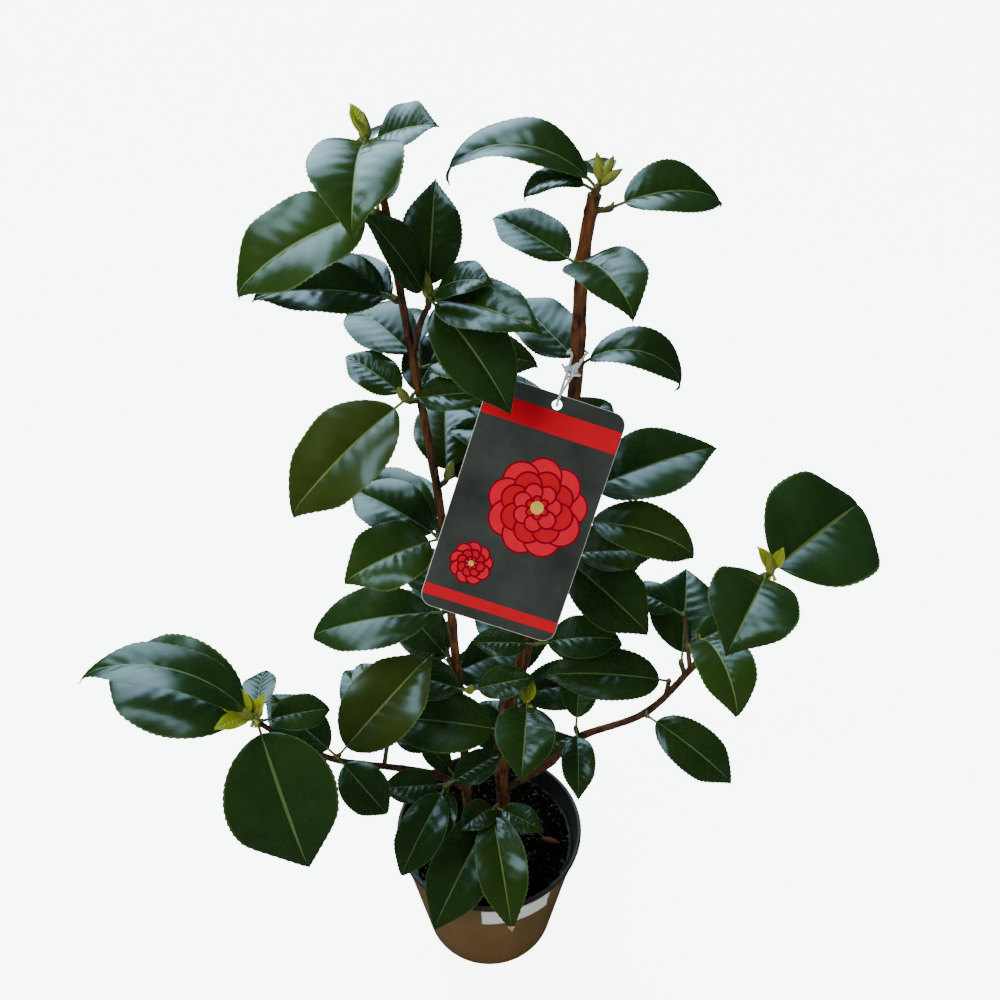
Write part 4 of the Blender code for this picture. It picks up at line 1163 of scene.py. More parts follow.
@dataclass(frozen=True)
class Pot:
    """A round nursery pot with a collar, a rolled lip and drain holes in its floor."""

    rim_radius: float = 70.0
    foot_radius: float = 50.0
    height: float = 108.0
    wall: float = 1.4
    lip_width: float = 2.6
    lip_height: float = 3.0
    collar_height: float = 17.0
    collar_step: float = 1.0
    drain_holes: int = 6
    drain_radius: float = 4.0
    drain_ring: float = 36.0
    foot_round: float = 2.0
    cone_gap: float = 0.6
    ledge: float = 1.0
    ledge_rise: float = 0.6
    lip_round: float = 0.8
    lip_back: float = 0.4
    lip_fall: float = 1.2
    softening: float = 0.7
    sticker_from: float = 266.0
    sticker_sweep: float = 44.0
    sticker_below: float = 8.0
    sticker_clear: float = 1.6
    sides: int = 160
    plain_sides: int = 48

    def profile(self) -> list[Pair]:
        """The wall's outline from the middle of the underside to the middle of the inner floor."""
        collar, lip_foot = self.height - self.collar_height, self.height - self.lip_height
        step = self.outer_radius(collar) - self.cone_gap
        rim, inner = self.rim_radius, self.foot_radius - self.wall
        return [(0.0, 0.0), (self.foot_radius - self.foot_round, 0.0), (self.foot_radius, self.foot_round),
                (step - self.collar_step, collar - self.ledge), (step, collar + self.ledge_rise),
                (rim - self.ledge, lip_foot), (rim, lip_foot + self.lip_round),
                (rim, self.height - self.lip_round), (rim - self.lip_round, self.height),
                (rim - self.lip_width, self.height),
                (rim - self.lip_width - self.lip_back, self.height - self.lip_fall),
                (step - self.collar_step - self.wall, collar - self.ledge), (inner, self.wall + self.ledge),
                (inner - self.foot_round, self.wall), (0.0, self.wall)]

    def outer_radius(self, height: float) -> float:
        """The radius of the straight cone from foot to rim at a height."""
        return self.foot_radius + (self.rim_radius - self.foot_radius) * height / self.height

    def inner_radius(self, height: float) -> float:
        """The pot's inside radius at a height."""
        collar = self.height - self.collar_height - self.ledge
        low = self.foot_radius - self.wall
        high = self.outer_radius(collar + self.ledge) - self.collar_step - self.cone_gap - self.wall
        top = self.rim_radius - self.lip_width - self.lip_back
        if height <= collar:
            return low + (high - low) * (height - self.wall - self.ledge) / (collar - self.wall - self.ledge)
        return high + (top - high) * (height - collar) / (self.height - self.lip_fall - collar)

    def solid(self) -> Solid:
        """The plain pot that claims the pot's room."""
        return turned(self.profile(), self.plain_sides)

    def build(self) -> None:
        """Makes the pot with rounded corners, its drain holes and its blank sticker."""
        profile = self.profile()
        rounded = [profile[0]]
        for before, point, after in zip(profile, profile[1:], profile[2:]):
            p, a, b = (Vector((*q, 0.0)) for q in (point, before, after))
            cut = min(self.softening, (a - p).length / 3, (b - p).length / 3)
            enter, leave = p + (a - p).normalized() * cut, p + (b - p).normalized() * cut
            for t in (0.0, 0.33, 0.67, 1.0):
                place = enter.lerp(p, t).lerp(p.lerp(leave, t), t)
                rounded.append((place.x, place.y))
        rounded.append(profile[-1])
        verts, faces = turned(rounded, self.sides)
        lip = self.height - self.lip_height + 0.2
        inside = [v.z > self.wall + 1.5 and v.xy.length < self.inner_radius(v.z) + 0.4 for v in verts]
        kinds = [1 if min(verts[i].z for i in face) > lip or all(inside[i] for i in face) else 0
                 for face in faces]
        pot = show("pot_shell", solid_mesh("pot_shell", (verts, faces), kinds), (POT_PLASTIC, LIP_PLASTIC))
        self.cut_drains(pot)
        dress(pot, ("pot",))
        self.sticker()

    def cut_drains(self, pot: bpy.types.Object) -> None:
        """Cuts the drain holes through the floor.

        Args:
            pot: the pot's piece, whose mesh is changed.
        """
        plugs = Gathered()
        for i in range(self.drain_holes):
            ends = [polar(self.drain_ring, tau * i / self.drain_holes, z) for z in (-4.0, 4.0)]
            plugs.add(tube(ends, [self.drain_radius] * 2, 32))
        cutter = show("drain_plugs", plugs.mesh("drain_plugs"), (POT_PLASTIC,))
        cut = pot.modifiers.new("drains", "BOOLEAN")
        cut.operation = "DIFFERENCE"
        cut.object = cutter
        cut.solver = "EXACT"
        mesh = evaluated_mesh(pot)
        pot.modifiers.clear()
        pot.data = mesh
        mesh.name = "pot_shell"
        bpy.data.objects.remove(cutter, do_unlink=True)

    def sticker(self) -> None:
        """A blank paper band stuck on the collar, at the front right."""
        seat = self.height - self.collar_height
        foot, edge = seat - self.sticker_below, seat + self.ledge_rise
        high = self.height - self.lip_height - self.sticker_clear
        step = self.outer_radius(seat) - self.cone_gap
        wall_height = self.collar_height - self.lip_height - self.ledge_rise
        lean = (self.rim_radius - self.ledge - step) / wall_height
        bends = ((foot, self.outer_radius(foot)), (edge, step), (high, step + lean * (high - edge)))
        steps, rows = 28, 6
        grid = []
        for depth in (0.25, 0.05):
            for row in range(rows + 1):
                (low, near), (upper, far) = bends[row // 3:row // 3 + 2] if row < rows else bends[1:]
                share = row % 3 / 3 if row < rows else 1.0
                z = low + (upper - low) * share
                radius = near + (far - near) * share + depth
                for i in range(steps + 1):
                    grid.append(polar(radius, radians(self.sticker_from + self.sticker_sweep * i / steps), z))
        put("pot_sticker", solid_mesh("pot_sticker", (grid, slab_faces(steps, rows))), (STICKER,))


def slab_faces(across: int, along: int) -> Faces:
    """The faces of a thin closed slab: two grids of points, the first above the second.

    Args:
        across: the spans in a row.
        along: the number of rows less one.

    Returns:
        The faces.
    """
    wide = across + 1
    back = wide * (along + 1)
    faces: Faces = []
    for j in range(along):
        for i in range(across):
            a = j * wide + i
            faces.append((a, a + 1, a + 1 + wide, a + wide))
            faces.append((a + back, a + wide + back, a + 1 + wide + back, a + 1 + back))
    border = [(i, i + 1) for i in range(across)]
    border += [(along * wide + i + 1, along * wide + i) for i in range(across)]
    border += [(j * wide + across, (j + 1) * wide + across) for j in range(along)]
    border += [((j + 1) * wide, j * wide) for j in range(along)]
    faces += [(a + back, b + back, b, a) for a, b in border]
    return faces


@dataclass(frozen=True)
class Strewn:
    """A kind of thing that lies on the compost: its size, how many to a square metre, and its scales.

    A size of one number is a crumb's radius; three are a splinter's length, width and thickness.
    """

    name: str
    size: tuple[float, ...]
    density: float
    smallest: float
    largest: float
    seed: int
    lean: float
    finish: Finish


STREWN = (Strewn("soil_crumbs", (1.5,), 400000.0, 0.35, 1.5, 11, 3.0, CRUMB),
          Strewn("bark_chips", (9.0, 1.7, 0.6), 3000.0, 0.35, 1.15, 23, 0.35, CHIP),
          Strewn("fine_roots", (12.0, 0.5, 0.4), 5200.0, 0.4, 1.3, 31, 0.25, ROOT),
          Strewn("pale_grit", (0.7,), 500.0, 0.5, 1.2, 47, 3.0, GRIT))
LUMP_ROUGHNESS, LUMP_GRAIN, LUMP_FLATNESS = 0.45, 1.7, 0.75
# a splinter's width at its ends, and its bend and sweep, as shares of its width and length
SLIVER_END, SLIVER_BEND, SLIVER_SWEEP = 0.35, 0.05, 0.08
# the scale and height of each size of heave of the compost
SOIL_WAVES = ((0.09, 1.5), (0.27, 1.1), (0.8, 0.8))


@dataclass(frozen=True)
class Compost:
    """The dark compost that fills the pot, a little crowned, with chips, grit and crumbs on it."""

    pot: Pot
    level: float = 95.0
    crown: float = 2.0
    crown_power: float = 2.2
    rings: int = 34
    sides: int = 120
    sunk: float = 0.6
    bare_edge: float = 4.0

    def profile(self) -> list[Pair]:
        """The plain outline from the middle of the underside to the middle of the top."""
        clear = CLEARANCE + 0.1
        low = self.pot.wall + CLEARANCE
        collar = self.pot.height - self.pot.collar_height - self.pot.ledge
        edge = self.level - self.crown
        return [(0.0, low), (self.pot.foot_radius - self.pot.wall - self.pot.foot_round - clear, low),
                (self.pot.inner_radius(low + 1.4) - clear, low + 1.4),
                (self.pot.inner_radius(collar) - clear, collar), (self.pot.inner_radius(edge) - clear, edge),
                (45.0, self.level - 0.5), (25.0, self.level - CLEARANCE), (0.0, self.level - CLEARANCE)]

    def solid(self) -> Solid:
        """The plain filling that claims the compost's room."""
        return turned(self.profile(), self.pot.plain_sides)

    def build(self) -> None:
        """Makes the crumbly surface and strews what lies on it."""
        fine = self.profile()[:5]
        edge_radius, edge = fine[-1]
        top = self.level - CLEARANCE
        for i in range(1, self.rings):
            share = 1 - i / self.rings
            fine.append((edge_radius * share, edge + (top - edge) * (1 - share ** self.crown_power)))
        fine.append((0.0, top))
        verts, faces = turned(fine, self.sides)
        for v in verts:
            if v.z > edge - 0.1:
                inward = min(1.0, (edge_radius - v.xy.length) / self.bare_edge + 0.25)
                heave = sum(noise.noise(v * scale) * height for scale, height in SOIL_WAVES)
                v.z += heave * inward - self.sunk
        put("compost_fill", solid_mesh("compost_fill", (verts, faces)), (SOIL,), ("compost",))
        ground = self.top(verts, faces, edge)
        strewing = scatter_tree()
        for strewn in STREWN:
            self.strew(strewing, ground, strewn)
        self.red_chip()

    def top(self, verts: list[Vector], faces: Faces, edge: float) -> Mesh:
        """The part of the surface that things lie on.

        Args:
            verts: the filling's points.
            faces: the filling's faces.
            edge: the height of the filling's edge.

        Returns:
            The mesh of the top alone.
        """
        reach = self.pot.inner_radius(edge) - self.bare_edge
        upper = [f for f in faces if all(verts[i].z > edge - 2 for i in f)
                 and max(verts[i].xy.length for i in f) < reach]
        mesh = bpy.data.meshes.new("compost_top")
        mesh.from_pydata([v * MM for v in verts], [], upper)
        return mesh

    @staticmethod
    def strew(tree: NodeTree, ground: Mesh, strewn: Strewn) -> None:
        """Strews one kind of thing over the compost.

        Args:
            tree: the strewing tree.
            ground: the surface.
            strewn: the kind of thing.
        """
        thing = lump(*strewn.size) if len(strewn.size) == 1 else sliver(*strewn.size)
        pattern = bpy.data.objects.new(strewn.name + "_pattern", thing)
        mesh = run_tree(tree, ground, strewn.name, {
            "Thing": pattern, "Density": strewn.density, "Smallest": strewn.smallest,
            "Largest": strewn.largest, "Seed": strewn.seed, "Tilt": strewn.lean,
            "Finish": strewn.finish.material()})
        bpy.data.objects.remove(pattern, do_unlink=True)
        put(strewn.name, mesh, (strewn.finish,))

    def red_chip(self) -> None:
        """One larger reddish chip at the right."""
        chip = sliver(15.0, 5.0, 1.6)
        chip.transform(Matrix.Translation(Vector((47.0, -6.0, self.level + self.sunk)) * MM)
                       @ Matrix.Rotation(radians(-24), 4, "Z") @ Matrix.Rotation(radians(6), 4, "X"))
        put("reddish_chip", chip, (RED_CHIP,))


def lump(radius: float) -> Mesh:
    """A rough round crumb.

    Args:
        radius: its radius.

    Returns:
        Its mesh, round the origin.
    """
    shape = bmesh.new()
    bmesh.ops.create_icosphere(shape, subdivisions=1, radius=radius * MM)
    for v in shape.verts:
        v.co *= 1.0 + LUMP_ROUGHNESS * noise.noise(v.co / MM * LUMP_GRAIN)
        v.co.z *= LUMP_FLATNESS
    mesh = bpy.data.meshes.new("crumb")
    shape.to_mesh(mesh)
    shape.free()
    return mesh


def sliver(length: float, width: float, thickness: float) -> Mesh:
    """A slightly bent splinter of bark or root.

    Args:
        length: its length.
        width: its width.
        thickness: its thickness.

    Returns:
        Its closed mesh, round the origin.
    """
    steps = 6
    grid = []
    for lift in (0.5, -0.5):
        for j in range(steps + 1):
            share = j / steps
            narrow = width / 2 * (SLIVER_END + (1 - SLIVER_END) * sin(pi * min(share * 1.15, 1.0)))
            bend = SLIVER_BEND * length * sin(pi * share)
            for i in (-1, 0, 1):
                edge = SLIVER_END if i else 1.0
                across = i * narrow + SLIVER_SWEEP * length * share * share
                grid.append(Vector(((share - 0.5) * length, across, bend + lift * thickness * edge)))
    return solid_mesh("splinter", (grid, slab_faces(2, steps)))


# ---- stems and boughs

def nearest_on(path: Route, height: float) -> Vector:
    """The point of a rising path at a height."""
    return min(path, key=lambda p: abs(p.z - height)).copy()


FLARE_STEEPNESS = 14
LEAST_SINE = 0.35


def taper(limb: Limb, count: int) -> list[float]:
    """The radius at each point of a limb, with the flare at its foot."""
    radii = []
    for i in range(count):
        share = i / (count - 1)
        flare = 1 + (limb.flare - 1) * max(0.0, 1 - share * FLARE_STEEPNESS)
        radii.append((limb.base_radius + (limb.tip_radius - limb.base_radius) * share) * flare)
    return radii


def start_beside(point: Vector, run: Vector, carrier_radius: float, ahead: Sequence,
                 own_radius: float) -> Vector:
    """Where a limb starts so that its flat end stands clear of the limb that carries it.

    Args:
        point: the point of the carrier's middle line.
        run: the carrier's direction there.
        carrier_radius: the carrier's radius there.
        ahead: where the new limb goes.
        own_radius: the new limb's radius.

    Returns:
        The start of the new limb.
    """
    way = (Vector(ahead) - point).normalized()
    cosine = abs(way.dot(run))
    sine = max((1 - cosine * cosine) ** 0.5, LEAST_SINE)
    return point + way * (carrier_radius + CLEARANCE + own_radius * cosine) / sine


@dataclass(frozen=True)
class Coat:
    """The bark of a kind of limb: its finish, sides, relief and grain, and the gap between its nodes."""

    bark: Finish
    sides: int
    relief: float
    grain: float
    node_gap: float = 1.0

    def cover(self, name: str, tree: NodeTree, lines: Lines,
              nodes: Sequence[str] = ()) -> None:
        """Makes the piece of bark that runs along some lines.

        Args:
            name: the piece's name.
            tree: the tree that turns lines into limbs.
            lines: each line's path and radii.
            nodes: the CAD nodes that it stands for.
        """
        mesh = run_tree(tree, line_mesh(lines), name, {
            "Sides": self.sides, "Relief": self.relief, "Grain": self.grain, "Bark": self.bark.material()})
        mesh.shade_smooth()
        put(name, mesh, (self.bark,), nodes)


STEM_COAT = Coat(BARK, 36, 0.0011, 330.0, 0.085)
BOUGH_COAT = Coat(BOUGH_BARK, 22, 0.0005, 420.0, 0.16)
TWIG_COAT = Coat(TWIG_BARK, 12, 0.0002, 600.0)
NODE_SWELLING = 0.13
NODE_SHARPNESS = 9
# the share of the stem's radius and the height of each ring of the old cut, from its middle
CUT_RINGS = ((0.45, 0.85), (0.8, 0.75), (0.97, 0.95), (1.08, 0.5), (1.1, -0.8))
CUT_SIDES = 28
CUT_MIDDLE = 0.9
CUT_SUNK = 1.2


@dataclass
class Limbs:
    """The two stems and the boughs, grown by their routes and covered in bark."""

    space: Space
    grown: dict[str, GrownLimb] = field(default_factory=dict)
    starts: dict[str, Vector] = field(default_factory=dict)

    def grow(self) -> None:
        """Grows every limb's middle line and takes its room."""
        for name, limb in STEMS.items():
            self.keep(name, limb, [Vector(p) for p in limb.route])
        for name, (carrier, at, limb) in BOUGHS.items():
            point, run = point_along(self.grown[carrier].path, at)
            start = start_beside(point, run, self.radius_at(carrier, at), limb.route[0], limb.base_radius)
            self.starts[name] = point
            self.keep(name, limb, [start] + [Vector(p) for p in limb.route])

    def keep(self, name: str, limb: Limb, route: list[Vector]) -> None:
        """Keeps a limb's path and radii and takes its room."""
        path = smooth_path(route, 3)
        radii = taper(limb, len(path))
        self.space.add(name, *tube(path, radii, 9))
        self.grown[name] = GrownLimb(path, limb.tip_radius, radii)

    def radius_at(self, name: str, share: float) -> float:
        """The limb's radius at a share of its length."""
        limb = self.grown[name]
        here = point_along(limb.path, share)[0]
        ends = sorted(range(len(limb.path)), key=lambda i: (limb.path[i] - here).length)[:2]
        near, far = ((limb.path[i] - here).length for i in ends)
        weight = far / (near + far)
        return limb.radii[ends[0]] * weight + limb.radii[ends[1]] * (1 - weight)

    def build(self) -> None:
        """Covers each limb with its own bark piece."""
        tree = stem_tree()
        for name, limb in {**STEMS, **{name: bough[2] for name, bough in BOUGHS.items()}}.items():
            route = [Vector(p) for p in limb.route]
            if name in self.starts:
                route.insert(0, self.starts[name])
            path = smooth_path(route, 26)
            count = len(path)
            radii = [radius * self.swelling(i / (count - 1), name)
                     for i, radius in enumerate(taper(limb, count))]
            coat = STEM_COAT if name in STEMS else BOUGH_COAT
            coat.cover("bark_" + name, tree, [(path, radii)], (name,))
        self.cut_end()

    @staticmethod
    def swelling(share: float, name: str) -> float:
        """How much a limb swells at its nodes, where old leaves stood."""
        off = (share / (STEM_COAT if name in STEMS else BOUGH_COAT).node_gap + 0.3) % 1.0 - 0.5
        return 1.0 + NODE_SWELLING * exp(-(off * NODE_SHARPNESS) ** 2)

    def cut_end(self) -> None:
        """The old cut at the top of the main stem, a pale disc with a raised callus."""
        top = self.grown["main_stem"]
        end, run = point_along(top.path, 1.0)
        side = run.orthogonal().normalized()
        up = run.cross(side)
        rings = [ring_round(end + run * lift, side, up, top.tip_radius * share, CUT_SIDES)
                 for share, lift in CUT_RINGS]
        solid = capped_rings(end + run * CUT_MIDDLE, rings, end - run * CUT_SUNK)
        kinds = [0 if min(face) <= CUT_SIDES else 1 for face in solid[1]]
        put("cut_end", solid_mesh("cut_end", solid, kinds), (CUT_WOOD, BARK))


def line_mesh(lines: Lines, closed: bool = False) -> Mesh:
    """A mesh of bare lines.

    Args:
        lines: each line's path, and the girth to keep at each point where it tapers.
        closed: whether the lines come back to their start.

    Returns:
        The mesh, in metres.
    """
    verts, edges, girths = [], [], []
    for path, radii in lines:
        start, count = len(verts), len(path)
        verts += [p * MM for p in path]
        edges += [(start + i, start + (i + 1) % count) for i in range(count if closed else count - 1)]
        girths += [radius * MM for radius in radii]
    mesh = bpy.data.meshes.new("lines")
    mesh.from_pydata(verts, edges, [])
    if girths:
        mesh.attributes.new("girth", "FLOAT", "POINT").data.foreach_set("value", girths)
    return mesh


# ---- leaves, twigs and buds

# the tint of each leaf of a spray, in order; a spray that isn't listed is deep green
# the fresh and olive greens go to leaves that catch the light or are backlit: partly their own lighter tone,
# partly painted light
TINTS = {
    "crown_left": (Tint.FRESH, Tint.DEEP, Tint.DEEP),
    "shoulder_left": (Tint.FRESH, Tint.DEEP, Tint.DEEP),
    "collar_left": (Tint.OLIVE, Tint.DEEP, Tint.DEEP, Tint.DEEP),
    "waist_back": (Tint.OLIVE, Tint.DEEP),
    "waist_left": (Tint.DEEP, Tint.FRESH),
    "crown_right": (Tint.DEEP, Tint.FRESH, Tint.DEEP),
    "middle_right_front": (Tint.FRESH,),
    "middle_right_low": (Tint.OLIVE, Tint.DEEP),
    "bough_left_middle": (Tint.OLIVE, Tint.DEEP, Tint.DEEP),
    "bough_right_upper": (Tint.FRESH,),
    "foot_front": (Tint.DEEP, Tint.FRESH, Tint.DEEP, Tint.DEEP),
    "back_middle": (Tint.DEEP, Tint.FRESH),
    "back_left_upper": (Tint.FRESH, Tint.DEEP),
}

# the young leaves of the shoots that have begun to open, set as the others are
SHOOTS = {
    "bough_left_tip": (Leaf(1.0, 166, 52, 26, 70, 0.5), Leaf(1.0, 222, 30, 20, 50, 0.44),
                       Leaf(0.7, 30, 66, 15, 20, 0.4), Leaf(0.7, 120, 70, 13, 20, 0.4)),
    "bough_right_tip": (Leaf(1.0, 150, 62, 15, 30, 0.44), Leaf(1.0, 40, 66, 13, 20, 0.44)),
    "low_centre": (Leaf(1.0, 60, 70, 14, 20, 0.4), Leaf(1.0, 190, 66, 12, 20, 0.4)),
    "crown_left": (Leaf(1.0, 140, 66, 16, 30, 0.4), Leaf(1.0, 250, 62, 12, 20, 0.4)),
}
# the share of its length past which a leaf, known by its spray and its place in it, is dry
DRY_TIPS = {("foot_front", 1): 0.93, ("waist_left", 1): 0.985}
# the share of a stalk's length and its radius there
STALK = ((0.0, 1.15), (0.2, 0.95), (0.45, 0.8), (0.7, 0.78), (0.9, 0.8), (1.06, 0.7), (1.2, 0.35))
STALK_SIDES = 10
TWIG_FOOT = TWIG_RADIUS * 1.25
TWIG_BEYOND = 1.2
KNUCKLE_REACH = 1.8
KNUCKLE_SWELLING = 0.35
BUD_SEAT = 0.94
BUD_FULLNESS = 1.2
LEAF_BUD_LENGTH = 4.2
LEAF_BUD_LEAN = 1.3
PATH_STEPS = 400
SEED_STEP = 100
SHOOT_SEED = 50
# the scale of a bud: its thickness, height, and half its spread at the foot and at the tip
SCALE_DEPTH, SCALE_HEIGHT, SCALE_SPREAD, SCALE_TIP = 0.06, 0.92, radians(78), radians(4)


@dataclass(frozen=True)
class BladeShape:
    """How finely a blade is made, and the relief of its ribs, teeth and waves."""

    along: int = 75
    columns: tuple[float, ...] = (0.0, 0.030, 0.09, 0.20, 0.36, 0.54, 0.72, 0.87, 0.965, 1.0)
    thickness: float = 0.5
    least_half: float = 0.45
    belly: float = 0.04
    point: float = 0.84
    point_from: float = 0.62
    folds: Pair = (0.36, 0.60)
    turn_down: float = 0.64
    groove: float = 0.010
    keel: float = 0.55
    keel_half: float = 1.4
    vein_pairs: int = 8
    vein_depth: float = 0.40
    vein_start: float = 0.05
    vein_slant: float = 0.17
    vein_reach: float = 0.86
    ripple: float = 0.07
    tooth: float = 0.55
    teeth_share: tuple[float, ...] = (0.0, 0.45, 1.0)
    teeth_between: Pair = (0.08, 0.96)
    wave: float = 0.07
    waves: Pair = (1.3, 2.2)
    wave_offset: float = 2.4
    twist: float = 12.0
    hook: float = 40.0
    hook_from: float = 0.78

    def outline(self, u: float) -> float:
        """Half the width at a share of the length, drawn to a longer point than the plain solid."""
        past = max(0.0, (u - self.point_from) / (1 - self.point_from))
        return blade_width(u) * (1.0 + self.belly * sin(pi * u) - self.point * past ** 1.6)

    def veins(self, u: float, away: float) -> float:
        """The depth of the side veins at a place of the blade, from 0 to 1."""
        ahead = (u - self.vein_start - self.vein_slant * away ** 1.3) * self.vein_pairs / self.vein_reach
        if not -0.5 < ahead < self.vein_pairs - 0.5:
            return 0.0
        return (0.5 + 0.5 * cos(tau * ahead)) ** 1.5 * (1.0 - away ** 2) * min(1.0, away * 8)

    def cross(self, away: float, fold: float) -> float:
        """The rise of a half blade from its rib: steep at the rib, turned down at the margin."""
        groove = self.groove * max(0.0, 1.0 - away * 9) ** 2
        return fold * away * (1.0 - self.turn_down * away) - groove

    def rise(self, u: float, s: float, half: float, fold: float, phase: float, waves: float,
             length: float) -> float:
        """How far the upper side stands off the blade's flat, at a place of it.

        Args:
            u: the share of its length.
            s: the share of its half width, from -1 to 1.
            half: its half width there.
            fold: how steeply it is folded.
            phase: where its waves start.
            waves: how many waves its margin has.
            length: its length.

        Returns:
            The height in millimetres.
        """
        away = abs(s)
        offset = self.wave_offset if s > 0 else 0.0
        rise = half * self.cross(away, fold)
        rise += half * self.wave * sin(phase + u * waves * tau + offset) * away * away
        rise -= self.vein_depth * self.veins(u, away)
        ripple = sin(u * length + phase) * sin(half * s * 0.8 + phase * 2)
        return rise + self.ripple * ripple * (1.0 - away ** 4)

    def solid(self, root: Vector, leaf: Leaf, chance: random.Random) -> tuple[Solid, list[int], list]:
        """The closed blade with its relief.

        Args:
            root: where the leaf's stalk leaves the twig.
            leaf: the leaf.
            chance: the source of its small differences.

        Returns:
            Its points and faces, the part of each face (0 upper, 1 under, 2 rib, 3 margin) and its UVs.
        """
        run, side = leaf_axes(leaf)
        point = Vector(root) + run * PETIOLE
        fold = chance.uniform(*self.folds)
        phase, waves = chance.uniform(0, tau), chance.uniform(*self.waves)
        twist = radians(chance.uniform(-self.twist, self.twist))
        hook = self.hook * chance.uniform(0.5, 1.5)
        shares = [-c for c in reversed(self.columns[1:])] + list(self.columns)
        across = len(shares) - 1
        upper: list[Vector] = []
        lower: list[Vector] = []
        uvs: list[Pair] = []
        step = leaf.length / self.along
        first, last = self.teeth_between
        for j in range(self.along + 1):
            u = j / self.along
            if j:
                bend = leaf.droop + hook * max(0.0, u - self.hook_from) * 2 / (1 - self.hook_from) ** 2
                point = point + run * step * 0.5
                run = (Matrix.Rotation(-radians(bend) / self.along, 3, side) @ run).normalized()
                point = point + run * step * 0.5
            half = max(leaf.length * leaf.ratio / 2 * self.outline(u), self.least_half)
            tooth = self.tooth * self.teeth_share[j % 3] if first < u < last else 0.0
            out = side.copy()
            out.rotate(Matrix.Rotation(twist * u * u, 3, run))
            normal = out.cross(run)
            for i, s in enumerate(shares):
                away = abs(s)
                inside = 0 < i < across and 0 < j < self.along
                rise = self.rise(u, s, half, fold, phase, waves, leaf.length)
                place = point + out * (half * s + tooth * (s if away == 1.0 else 0.0)) + normal * rise
                upper.append(place)
                keel = self.keel * (1 - u) * max(0.0, 1 - away * half / self.keel_half)
                depth = self.thickness * (1.0 - away ** 4) + keel + 0.03
                lower.append(place - normal * (depth if inside else 0.0))
                uvs.append((0.5 + 0.5 * s, u))
        faces = slab_faces(across, self.along)
        parts = []
        middle = (across // 2 - 1, across // 2)
        for j in range(self.along):
            for i in range(across):
                rim = 3 if i in (0, across - 1) else 0
                parts += [2 if i in middle and j < self.along - 5 else rim, 1]
        parts += [1] * (len(faces) - 2 * across * self.along)
        return (upper + lower, faces), parts, uvs + uvs


